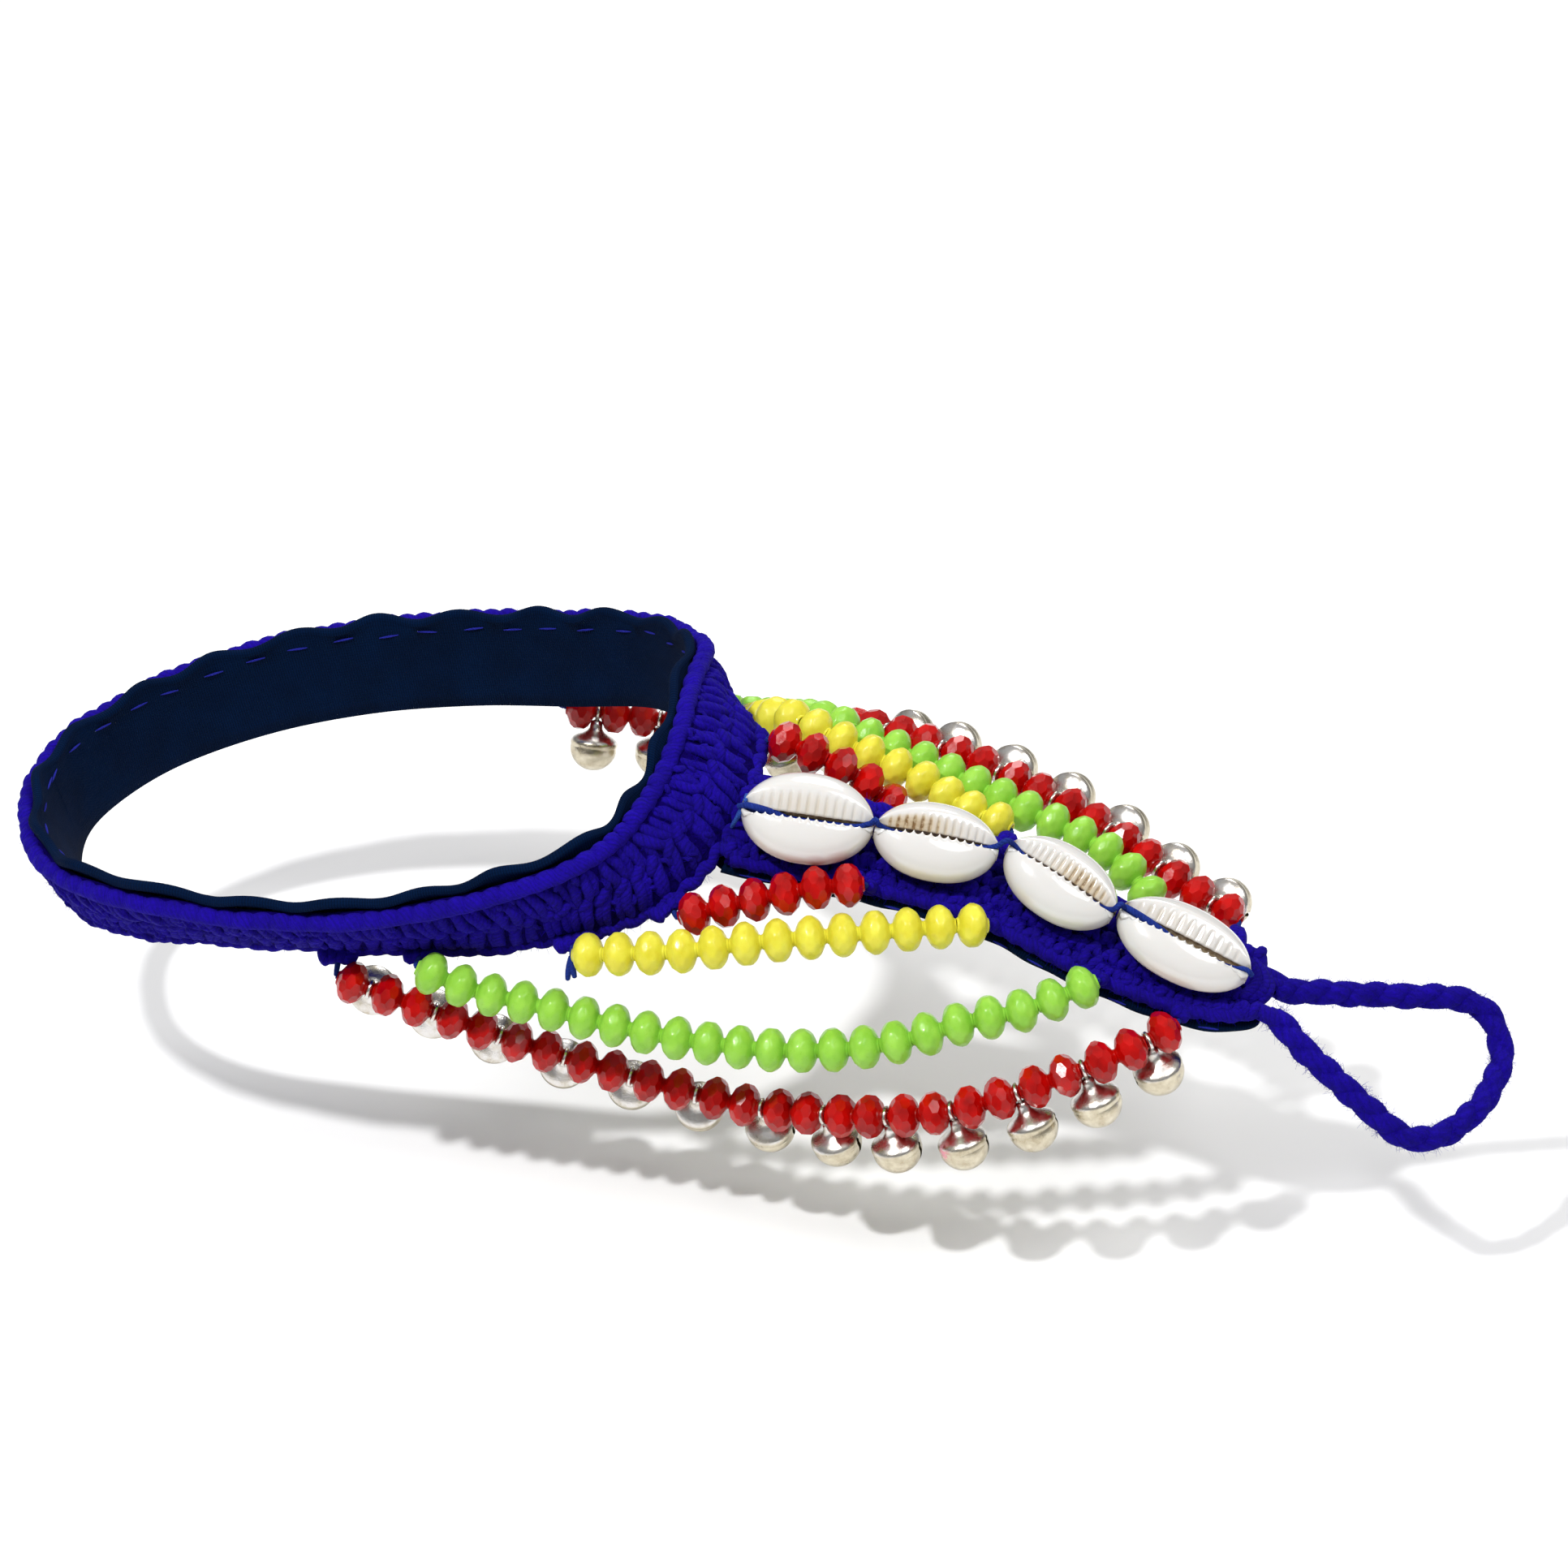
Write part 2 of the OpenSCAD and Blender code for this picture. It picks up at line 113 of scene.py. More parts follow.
# Course of the instep strap. Columns: x, y, z, tilt
STRAP_COURSE = [
    [65, -16.8, 12.3, 33], [73, -17, 11.2, 31], [86, -17, 9.2, 27], [102, -17.4, 5.4, 23],
    [119, -20.4, -0.6, 22], [133, -21.6, -4.6, 21], [145, -20.7, -6.6, 17],
]

# Cowrie shells. Columns: distance along the strap, distance to its outer side, turn,
# length, width
SHELLS = [
    [6.6, 0.4, 5, 21, 15.4],
    [26.4, 0.9, 6, 19.8, 13.6],
    [46.2, 2.4, -6, 19.8, 13.4],
    [68.2, 1.2, -10, 22.6, 13.8],
]

# How each shell is worn. Columns: opening of its slit, distance between its ridges,
# share of stain between them, middle of the stain along the shell, its reach, bow of
# the slit towards the near side
SHELL_WEAR = [
    [0.85, 1.45, 0.2, -0.1, 0.6, 0.9],
    [0.6, 1.25, 1.0, -0.45, 0.55, 0.1],
    [0.35, 1.15, 0.8, 0.35, 0.5, 0.2],
    [1.5, 1.7, 0.2, -0.5, 0.5, 0.8],
]

# Course of the toe loop, from the outer corner of the strap's end to the inner one
LOOP_COURSE = [
    [146.4, -19.4, -6.9], [149.4, -18.2, -7.6], [153.5, -16.4, -8.6], [158.5, -13.8, -10.1],
    [165, -11.2, -11.4], [172, -8.8, -12.5], [176.5, -7, -14], [180, -7.3, -16.4],
    [182, -10.5, -18.8], [182.3, -15, -21], [179.8, -23.2, -22.6], [175.5, -29.4, -23.5],
    [171, -32.5, -23.3], [166.8, -33.4, -21], [160.3, -32.3, -16], [153.5, -30.3, -11.1],
    [149.4, -27.6, -8.6], [146.6, -25.2, -7.4],
]

# Courses of the strings, from the band to the strap. Columns: x, y, z, and for the
# strings with bells how far the bells swing outwards
NEAR_RED_COURSE = [
    [52, -31.6, 3], [58.2, -30.7, 5.3], [64.4, -30.2, 7.4], [71.6, -29.6, 9.6], [76.2, -29, 10.6],
    [84.6, -27.4, 11.4],
]
NEAR_YELLOW_COURSE = [
    [36.8, -37.5, -1.2], [44.9, -38, 0.4], [55, -38, 2.1], [68.9, -36, 4.3], [84.8, -32.8, 5.7],
    [98.8, -29.4, 6.4], [103.2, -27.6, 5.2],
]
NEAR_GREEN_COURSE = [
    [11.7, -37.6, -5.8], [21.6, -37.9, -9.2], [32, -38, -11], [52, -39.5, -13.2], [71.5, -40.5, -13],
    [87.5, -40.5, -10], [100.5, -38, -5.8], [110, -35.8, -3.5], [121, -31.2, 0.4],
]
NEAR_BELL_COURSE = [
    [-1.6, -35, -11.4, -53], [14, -35.5, -15.8, -48], [31, -34.2, -22, -42], [50, -34.5, -26.2, -38],
    [68, -36.5, -27.5, -26], [86, -41, -23.6, -6], [101, -42.5, -19, 8], [116, -40.3, -12.6, 12],
    [126, -36.5, -8.9, 5], [133.5, -31.8, -6, 0],
]
FAR_RED_COURSE = [
    [63.6, -2.9, 21], [66.2, -4, 20.5], [72, -5.3, 19.2], [77.8, -5.4, 16.2], [82, -5, 12.5],
    [84.9, -5.2, 8.5], [86.6, -5.4, 5.4],
]
FAR_YELLOW_COURSE = [
    [52.8, 25.8, 3.1], [55.2, 22.4, 6.2], [58.7, 16.6, 11], [62.4, 11.6, 15], [66.8, 8, 16.6],
    [72.5, 5.4, 15.9], [80, 3.5, 13.9], [87.5, 1, 12.2], [95.5, -3.9, 10.9], [100.6, -5.6, 10.1],
    [104.4, -7, 9.2],
]
FAR_GREEN_COURSE = [
    [37.6, 40.6, -3.4], [46, 38.4, -2.4], [54.6, 33, 1], [61.9, 26, 5.6], [66.8, 19, 10.4],
    [72, 14.4, 12.6], [77.7, 12, 12], [86.6, 9.3, 10.4], [95.2, 5.8, 9.2], [104, 1.8, 8],
    [112.4, -1.3, 6.6], [118.5, -4.2, 5], [123.2, -7.8, 2.9], [127, -11.2, 0.4],
]
FAR_BELL_COURSE = [
    [18.8, 44, -7.7, -30], [28, 45.5, -9, -20], [40, 45.5, -9.5, -5], [52, 42.5, -7.5, 10],
    [61.8, 36.8, -3.4, 25], [69, 30, 2.2, 42], [75.6, 24, 6.4, 58], [83, 19.8, 7.9, 66],
    [92, 16.2, 7.6, 70], [101.4, 12.4, 6.3, 72], [110.6, 8.2, 4.9, 72], [119.6, 3.4, 2.9, 72],
    [127.2, -1.1, 0.4, 72], [134, -4.8, -1.4, 70], [140.6, -8, -2.8, 62],
]

# The strings. Columns: side, kind, course, number of beads, distance between beads or
# bells, colour
STRINGS = [
    ["near", "red", NEAR_RED_COURSE, 6, 5, "red"],
    ["near", "yellow", NEAR_YELLOW_COURSE, 13, 5.05, "yellow"],
    ["near", "green", NEAR_GREEN_COURSE, 22, 5.05, "green"],
    ["near", "bell", NEAR_BELL_COURSE, 26, 10.95, "red"],
    ["far", "red", FAR_RED_COURSE, 6, 4.9, "red"],
    ["far", "yellow", FAR_YELLOW_COURSE, 13, 4.95, "yellow"],
    ["far", "green", FAR_GREEN_COURSE, 22, 4.95, "green"],
    ["far", "bell", FAR_BELL_COURSE, 26, 10.7, "red"],
]
SWING_WAY = {"near": -1, "far": 1}

# Share of the way from the band to the strings of a side that the crochet reaches down
TAB_REACH = {"near": 0.6, "far": 0.25}


def unit(v):
    return v / np.maximum(np.linalg.norm(v, axis=-1, keepdims=True), 1e-9)


def turns(count):
    """Angles of one full turn in equal steps."""
    return np.linspace(0, 2 * pi, count, endpoint=False)


def columns(*parts):
    return np.stack(parts, axis=-1)


def lattice(rows, across):
    """Grid of UVs from the marks of its rows and columns."""
    return columns(*np.meshgrid(rows, across, indexing="ij"))


def smooth(rows, steps, closed=False):
    """Catmull-Rom curve through the rows of a course."""
    rows = np.asarray(rows, float)
    if closed:
        rows = np.r_[rows[-1:], rows, rows[:2]]
    else:
        rows = np.r_[[2 * rows[0] - rows[1]], rows, [2 * rows[-1] - rows[-2]]]
    a, b, c, d = (rows[k: len(rows) - 3 + k, None] for k in range(4))
    t = (np.arange(steps) / steps)[None, :, None]
    curve = 0.5 * (
        2 * b + (c - a) * t + (2 * a - 5 * b + 4 * c - d) * t**2 + (3 * b - a - 3 * c + d) * t**3
    )
    return np.r_[curve.reshape(-1, rows.shape[1]), rows[-2:-1]]


class Path:
    """A smooth course that is read by the distance along it."""

    def __init__(self, rows, closed=False, steps=24):
        self.closed = closed
        self.points = smooth(rows, steps, closed)
        gaps = np.linalg.norm(np.diff(self.points[:, :3], axis=0), axis=1)
        self.marks = np.r_[0, np.cumsum(gaps)]
        self.length = self.marks[-1]

    def at(self, s):
        s = np.mod(s, self.length) if self.closed else s
        return columns(*(np.interp(s, self.marks, column) for column in self.points.T))

    def heading(self, s, reach=0.5):
        return unit(self.at(s + reach)[..., :3] - self.at(s - reach)[..., :3])

    def frame(self, s, reach=0.5):
        """Place at a mark and the directions there: along, level and upright."""
        along = self.heading(s, reach)
        level = unit(cross(UP, along))
        return self.at(s)[..., :3], along, level, cross(along, level)


# Length over which the slant of a strip's start fades
SLANT_REACH = 6


class Strip(Path):
    """A strip along a course, whose last column is its tilt from rest_tilt."""

    def __init__(self, rows, reach, rest_tilt, slant=0, closed=False):
        super().__init__(rows, closed)
        self.reach, self.rest_tilt, self.slant = reach, rest_tilt, slant

    def frame(self, s):
        """Place on its lower or inner face and its directions: along, across and out."""
        place, along, level, up = super().frame(s, self.reach)
        tilt = radians(self.at(s)[..., 3] + self.rest_tilt)[..., None]
        return place, along, level * cos(tilt) + up * sin(tilt), up * cos(tilt) - level * sin(tilt)

    def normal(self, s):
        return self.frame(s)[3]

    def on(self, s, across, out):
        """Place on the strip. The inner side of a slanted one starts further back."""
        place, along, side, normal = self.frame(s)
        across, out = (np.asarray(item, float)[..., None] for item in (across, out))
        start = np.asarray(self.slant * np.clip(1 - s / SLANT_REACH, 0, 1))[..., None]
        return place + along * start * (across / STRAP_W - 0.5) + side * across + normal * out


# The band's width stands upright and the strap's lies flat
band = Strip(BAND_COURSE, 1.5, 90, closed=True)
strap = Strip(STRAP_COURSE, 1.0, 0, STRAP_SLANT)
loop = Path(LOOP_COURSE)

# Direction out of the strap near its middle
STRAP_FACING = strap.normal(40.0)


def strap_half(s):
    """Half the strap's width. Its end is rounded."""
    past = np.maximum(0, s / strap.length - 1 + STRAP_ROUND) / STRAP_ROUND
    return STRAP_W / 2 * (0.55 + 0.45 * np.sqrt(np.maximum(0, 1 - past * past)))


def strap_marks(step, end_steps):
    """Marks along the strap: even ones, then closer ones towards its rounded end."""
    length, even = strap.length, 1 - STRAP_ROUND
    end = length * (even + STRAP_ROUND * sin(np.linspace(0, pi / 2, end_steps)))
    return np.r_[np.arange(0, length * even, step), end]


# Mesh making
def with_caps(rings):
    """The same rings with one more at each end, drawn in to its middle."""
    first, last = rings[0].mean(0), rings[-1].mean(0)
    return np.r_[[first + 1e-3 * (rings[0] - first)], rings, [last + 1e-3 * (rings[-1] - last)]]


class Shape:
    """Points, faces, UVs and marks of one piece, gathered grid by grid."""

    def __init__(self):
        self.points, self.faces, self.uvs, self.slots, self.marks = [], [], [], [], []
        self.count = 0

    def gather(self, points, faces, uvs, slot, mark=None):
        self.points.append(points)
        self.faces += faces
        self.uvs.append(uvs)
        self.slots.append(np.full(len(faces), slot))
        self.marks.append(np.zeros(len(points)) if mark is None else mark)
        self.count += len(points)

    def grid(self, points, uv=None, around=False, along=False, slot=0, mark=None, flip=False):
        """Adds a grid of quads. uv has one more row or column than points where it closes."""
        n, m = points.shape[:2]
        uv = np.zeros((n + 1, m + 1, 2)) if uv is None else uv
        a, b = np.meshgrid(np.arange(n - 1 + along), np.arange(m - 1 + around), indexing="ij")
        corners = [(a, b), (a + 1, b), (a + 1, b + 1), (a, b + 1)]
        if flip:
            corners.reverse()
        quads = columns(*((i % n) * m + j % m for i, j in corners)).reshape(-1, 4) + self.count
        uvs = np.stack([uv[i, j] for i, j in corners], axis=2).reshape(-1, 2)
        mark = None if mark is None else mark.ravel()
        self.gather(points.reshape(-1, 3), quads.tolist(), uvs, slot, mark)

    def strand(self, centre, radius, facing, sides=8, flat=1.0, slot=0, closed=False, u_start=0.0):
        """Adds a tube along centre, its section flattened by flat towards facing."""
        if closed:
            along = unit(np.roll(centre, -1, 0) - np.roll(centre, 1, 0))
        else:
            along = unit(np.gradient(centre, axis=0))
        side = unit(cross(along, facing))
        out = cross(side, along)
        turn = turns(sides)[None, :, None]
        radius = np.broadcast_to(radius, len(centre))[:, None, None]
        points = centre[:, None] + radius * (side[:, None] * cos(turn) + out[:, None] * sin(turn) * flat)
        steps = np.linalg.norm(np.diff(centre, axis=0), axis=1)
        length = np.r_[0, np.cumsum(steps)]
        if closed:
            length = np.append(length, length[-1] + np.linalg.norm(centre[0] - centre[-1]))
        uv = lattice(length + u_start, np.arange(sides + 1) / sides)
        self.grid(points, uv, around=True, along=closed, slot=slot)

    def facet(self, corners, slot=0):
        """Adds one flat face with corners of its own, so that its edges stay crisp."""
        face = list(range(self.count, self.count + len(corners)))
        self.gather(corners, [face], np.zeros((len(corners), 2)), slot)

    def piece(self, name, materials, replaces=()):
        """Makes the object, which rides on the only body."""
        mesh = bpy.data.meshes.new(name)
        mesh.from_pydata(np.concatenate(self.points) * MM, [], self.faces)
        mesh.uv_layers.new(name="UVMap").data.foreach_set("uv", np.concatenate(self.uvs).ravel())
        mesh.polygons.foreach_set("material_index", np.concatenate(self.slots).astype(np.int32))
        mesh.shade_smooth()
        marks = np.concatenate(self.marks)
        if marks.any():
            mesh.attributes.new("mark", "FLOAT", "POINT").data.foreach_set("value", marks)
        for material in materials:
            mesh.materials.append(material)
        obj = bpy.data.objects.new(name, mesh)
        bpy.context.scene.collection.objects.link(obj)
        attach(obj, "root")
        if replaces:
            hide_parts(*replaces)
        return obj


# Materials
def linear(red, green, blue):
    """Colour from 0 to 255 as Blender's linear colour."""
    values = [c / 255 for c in (red, green, blue)]
    return tuple(c / 12.92 if c <= 0.04045 else ((c + 0.055) / 1.055) ** 2.4 for c in values) + (1.0,)


class Nodes:
    """Short calls for the nodes of one material."""

    def __init__(self, name, **sockets):
        self.material = bpy.data.materials.new(name)
        self.material.use_nodes = True
        self.tree = self.material.node_tree
        self.shader = self.tree.nodes["Principled BSDF"]
        for key, value in sockets.items():
            self.shader.inputs[key.replace("_", " ")].default_value = value

    def add(self, kind, **settings):
        node = self.tree.nodes.new("ShaderNode" + kind)
        for key, value in settings.items():
            setattr(node, key, value)
        return node

    def fill(self, socket, value):
        if hasattr(value, "links"):
            self.tree.links.new(value, socket)
        else:
            socket.default_value = value

    def feed(self, node, *values):
        for k, value in enumerate(values):
            self.fill(node.inputs[k], value)
        return node.outputs[0]

    def math(self, operation, *values):
        return self.feed(self.add("Math", operation=operation), *values)

    def waves(self, value, pitch):
        """Rounded ridges side by side."""
        return self.math("ABSOLUTE", self.math("SINE", self.math("MULTIPLY", value, pi / pitch)))

    def uv(self):
        split = self.add("SeparateXYZ")
        self.feed(split, self.add("UVMap", uv_map="UVMap").outputs[0])
        return split.outputs[0], split.outputs[1]

    def mark(self):
        return self.add("Attribute", attribute_name="mark").outputs["Fac"]

    def vector(self, x, y):
        return self.feed(self.add("CombineXYZ"), x, y, 0.0)

    def noise(self, scale, detail=2.0, vector=None, roughness=0.5):
        node = self.add("TexNoise")
        vector = self.add("TexCoord").outputs["Object"] if vector is None else vector
        values = {"Vector": vector, "Scale": scale, "Detail": detail, "Roughness": roughness}
        for key, value in values.items():
            self.fill(node.inputs[key], value)
        return node.outputs["Fac"]

    def ramp(self, value, low, high, out_low=0.0, out_high=1.0):
        return self.feed(self.add("MapRange"), value, low, high, out_low, out_high)

    def mix(self, share, first, second):
        node = self.add("Mix", data_type="RGBA")
        for k, value in ((0, share), (6, first), (7, second)):
            self.fill(node.inputs[k], value)
        return node.outputs[2]

    def bump(self, height, depth_mm):
        node = self.add("Bump")
        node.inputs["Distance"].default_value = depth_mm * MM
        self.fill(node.inputs["Height"], height)
        self.use("Normal", node.outputs[0])

    def use(self, socket, value):
        self.fill(self.shader.inputs[socket], value)

    def colour(self, share, first, second):
        self.use("Base Color", self.mix(share, first, second))


PER_MM = 1000.0


def yarn_material(name, bright, groove_shade_and_tone, plies, pitch, depth, sheen=0.25):
    """Plied yarn: the plies wind round the strand, with fine fibres along them. The grooves between the
    plies are darkened as painted shade.
    """
    n = Nodes(
        name, Roughness=0.95, Sheen_Weight=sheen, Sheen_Roughness=0.4, Sheen_Tint=bright,
        Specular_IOR_Level=0.15,
    )
    u, v = n.uv()
    wobble = n.math("MULTIPLY", n.math("SUBTRACT", n.noise(0.45 * PER_MM), 0.5), 0.9)
    wound = n.math("MULTIPLY_ADD", u, plies / pitch, n.math("MULTIPLY", v, plies))
    phase = n.math("ADD", wound, wobble)
    ply = n.waves(phase, 1)
    fibre = n.noise(1.0, 3, n.vector(n.math("MULTIPLY", u, 0.7), n.math("MULTIPLY", phase, 4.5)), 0.6)
    fluff = n.noise(2.2 * PER_MM, 3, roughness=0.65)
    fine = n.math("MULTIPLY_ADD", fibre, 0.5, n.math("MULTIPLY", fluff, 0.9))
    n.bump(n.math("ADD", n.math("MULTIPLY", ply, 0.35), fine), depth)
    patch = n.noise(0.22 * PER_MM)
    # The ply term darkens the grooves between the plies as painted shade; the patch and fibre terms are the
    # yarn's own uneven tone.
    share = n.math("MULTIPLY", n.ramp(ply, 0.1, 0.95, 0.65, 1.0), n.ramp(patch, 0.3, 0.7, 0.6, 1.0))
    share = n.math("MULTIPLY", share, n.ramp(n.math("ADD", fluff, fibre), 0.7, 1.3, 0.4, 1.15))
    n.colour(share, groove_shade_and_tone, bright)
    return n.material


def wool_shadow_material():
    """Wool between the stitches, coloured dark as painted shade for the shade that falls between them."""
    n = Nodes("wool_painted_shade", Roughness=1.0, Specular_IOR_Level=0.05)
    tangle = n.noise(0.9 * PER_MM, 4, roughness=0.7)
    # Both colours are painted shade, far darker than the yarn itself; the tangle noise is its own uneven
    # tone.
    n.colour(n.ramp(tangle, 0.3, 0.7), linear(5, 0, 55), linear(16, 0, 105))
    n.bump(tangle, 0.7)
    return n.material


def fuzz_material():
    """Loose fibres that stand off the yarn."""
    n = Nodes("wool_fuzz", Roughness=1.0, Specular_IOR_Level=0.1)
    n.colour(n.noise(0.3 * PER_MM), linear(18, 0, 136), linear(28, 2, 172))
    return n.material


def lining_material():
    """Woven lining: fine ribs across the rolled edge, with the grooves between them darkened as painted
    shade.
    """
    n = Nodes("lining_cloth", Roughness=0.9, Specular_IOR_Level=0.06)
    u, v = n.uv()
    rib, weft = n.waves(u, 0.42), n.waves(v, 0.5)
    weave = n.math("ADD", n.math("MULTIPLY", rib, 0.6), n.math("MULTIPLY", weft, 0.2))
    worn = n.noise(0.15 * PER_MM, 3)
    # The weave term darkens the grooves between the ribs and weft as painted shade; the worn noise is the
    # cloth's own uneven tone.
    share = n.math("MULTIPLY", n.ramp(weave, 0.1, 0.8, 0.5, 1.0), n.ramp(worn, 0.3, 0.7, 0.6, 1.0))
    n.colour(share, linear(0, 6, 22), linear(0, 24, 58))
    n.bump(n.math("ADD", weave, n.math("MULTIPLY", worn, 0.8)), 0.16)
    return n.material


def bead_material(name, body, deep, gloss):
    """Moulded plastic with fine scuffs and faint flow marks. gloss: its two roughnesses."""
    n = Nodes(
        name, Coat_Weight=0.05, Coat_Roughness=0.05, Specular_IOR_Level=0.3, Subsurface_Weight=0.08,
        Subsurface_Scale=1.2 * MM,
    )
    flow = n.noise(0.35 * PER_MM)
    scuff = n.noise(2.5 * PER_MM, 4, roughness=0.7)
    n.colour(n.ramp(flow, 0.3, 0.7), deep, body)
    n.use("Roughness", n.ramp(scuff, 0.35, 0.75, *gloss))
    n.bump(n.math("ADD", flow, n.math("MULTIPLY", scuff, 0.25)), 0.05)
    return n.material


def shell_material():
    """Polished cowrie: ivory, warmer low down, with stains between the teeth. Tan and brown painted shade
    runs down the walls of the slit and partly into the grooves between the ridges.
    """
    n = Nodes(
        "shell_ivory", Coat_Weight=0.8, Coat_Roughness=0.04, Subsurface_Weight=0.2,
        Subsurface_Scale=1.5 * MM, Subsurface_Radius=(1.0, 0.7, 0.5),
    )
    cloud = n.noise(0.16 * PER_MM, 3)
    speck = n.noise(1.3 * PER_MM, 4, roughness=0.7)
    _, high = n.uv()
    mark = n.mark()
    warm = n.math("MULTIPLY_ADD", cloud, 2.5, high)
    body = n.mix(n.ramp(warm, 2.6, 6.2), linear(212, 196, 168), linear(213, 211, 208))
    # The mark paints tan, and brown where it is high. It covers real stains on the far slope, painted shade
    # down the slit's walls and partly painted shade in the ridges' grooves.
    tan = n.mix(n.ramp(mark, 0.0, 0.5), body, linear(196, 178, 146))
    brown_share = n.math("MULTIPLY", n.ramp(mark, 0.3, 0.75), n.ramp(speck, 0.36, 0.58))
    brown = n.mix(cloud, linear(98, 62, 22), linear(140, 108, 66))
    n.colour(brown_share, tan, brown)
    n.use("Roughness", n.ramp(speck, 0.3, 0.8, 0.1, 0.24))
    n.bump(n.math("ADD", cloud, n.math("MULTIPLY", speck, 0.1)), 0.1)
    return n.material


def bell_material():
    """Plated sheet metal, creamier on the dome, with fine scratches and pale tarnish."""
    n = Nodes("bell_silver")
    u, v = n.uv()
    tarnish = n.noise(0.6 * PER_MM, 4, roughness=0.6)
    lathe = n.noise(1.0, 3, n.vector(n.math("MULTIPLY", u, 2.0), n.math("MULTIPLY", v, 9.0)))
    bright = n.mix(n.ramp(tarnish, 0.4, 0.75), linear(222, 219, 216), linear(190, 180, 160))
    dome = n.mix(n.ramp(tarnish, 0.3, 0.7), linear(220, 212, 190), linear(184, 172, 146))
    colour = n.mix(n.ramp(v, 5.2, 5.6), bright, dome)
    pink = n.math("MULTIPLY", n.mark(), n.ramp(n.noise(0.9 * PER_MM), 0.4, 0.5))
    n.colour(pink, colour, linear(235, 60, 140))
    n.use("Metallic", n.math("SUBTRACT", 1.0, pink))
    n.use("Roughness", n.ramp(tarnish, 0.3, 0.75, 0.12, 0.34))
    n.bump(n.math("ADD", n.math("MULTIPLY", lathe, 0.5), tarnish), 0.06)
    return n.material


yarn_blue = yarn_material("yarn_blue", linear(25, 0, 156), linear(6, 0, 70), 4, 3.4, 0.17)
edge_blue = yarn_material("yarn_edge", linear(27, 0, 162), linear(8, 0, 82), 6, 4.2, 0.16)
loop_blue = yarn_material("yarn_loop", linear(24, 0, 158), linear(8, 0, 88), 5, 5.0, 0.26)
cord_navy = yarn_material("cord_navy", linear(34, 60, 150), linear(10, 20, 84), 3, 1.7, 0.18, 0.15)
stitch_blue = yarn_material("stitch_blue", linear(60, 104, 190), linear(24, 44, 130), 2, 1.2, 0.12, 0.15)
seam_blue = yarn_material("seam_blue", linear(38, 44, 160), linear(16, 20, 104), 2, 1.2, 0.12, 0.15)
wool_painted_shade = wool_shadow_material()
wool_fuzz = fuzz_material()
lining_cloth = lining_material()
SHARP_GLOSS, WORN_GLOSS = (0.12, 0.3), (0.26, 0.42)
BEADS = {
    "red": bead_material("bead_red", linear(190, 8, 4), linear(146, 2, 1), SHARP_GLOSS),
    "yellow": bead_material("bead_yellow", linear(224, 218, 70), linear(210, 200, 48), WORN_GLOSS),
    "green": bead_material("bead_green", linear(150, 206, 74), linear(130, 190, 56), WORN_GLOSS),
}
shell_ivory = shell_material()
bell_silver = bell_material()


# Crochet
EDGE_RADIUS = 1.42
EDGE_HEIGHT = 6.85
HEM_RADIUS = 1.2
HEM_HEIGHT = -6.95
STITCH_PITCH = 2.9
STITCH_WIDTH = 3.1
STITCH_RISE = 0.6
STRAP_ROWS = 5
STRAP_PITCH = 2.75
STRAP_EDGE_RADIUS = 1.2
TIP_STEPS = 10

# Toe loop: radius of a strand, its distance from the middle, one wind, radius of the fuzz
LOOP_RADIUS = 1.62
LOOP_OFFSET = 0.5
LOOP_WIND = 9.6
LOOP_SKIN = 1.75

# Loose fibres
HAIR_RADIUS = 0.032
HAIR_REACH = 0.65
HAIR_STEPS = 4
HAIR_SIDES = 3
BAND_ROOTS = 3000
STRAP_ROOTS = 2000
LOOP_HAIRS = 6500

# Most of the band's fibres stand along its edges. Columns: height on the band, depth,
# how far they rise along its width, number
BAND_HAIRS = [[7.4, 2.6, 1, 1600], [-7.7, 1.6, -1, 2800], [3, 2.9, 0.2, 1500], [-3, 2.9, -0.2, 1700]]


def leaf(shape, strip, start, end, width, bulge, bow, rings=9, sides=8):
    """One visible loop of a stitch: a strand that swells and stands out in its middle.

    start and end are (along, across, out) on the strip.
    """
    t = np.linspace(0, 1, rings)
    arch = sin(pi * t)
    start, end = np.asarray(start, float), np.asarray(end, float)
    line = start + (end - start) * t[:, None]
    wave = sin(pi * t * rng.uniform(1.6, 3.2) + rng.uniform(0, 6)) * arch
    s = line[:, 0] + bow * arch + 0.22 * wave
    centre = strip.on(s, line[:, 1] + 0.12 * wave, line[:, 2] + bulge * arch)
    radius = width / 2 * (0.3 + 0.7 * arch**0.5)
    shape.strand(centre, radius, strip.normal(s), sides=sides, flat=0.85, u_start=rng.uniform(0, 20))


def stitch(shape, strip, start, end, width, bulge, bow):
    """Two strands of yarn side by side, which make one loop."""
    for side in (-0.27, 0.27):
        shift = np.array([side * width, 0, 0])
        strays = rng.normal(0, [0.22, 0.22, 0.1], (2, 3))
        leaf(
            shape, strip, start + shift + strays[0], end + shift + strays[1],
            0.66 * width * rng.uniform(0.9, 1.12), bulge + rng.normal(0, 0.16), bow + 0.9 * side, 7, 6,
        )


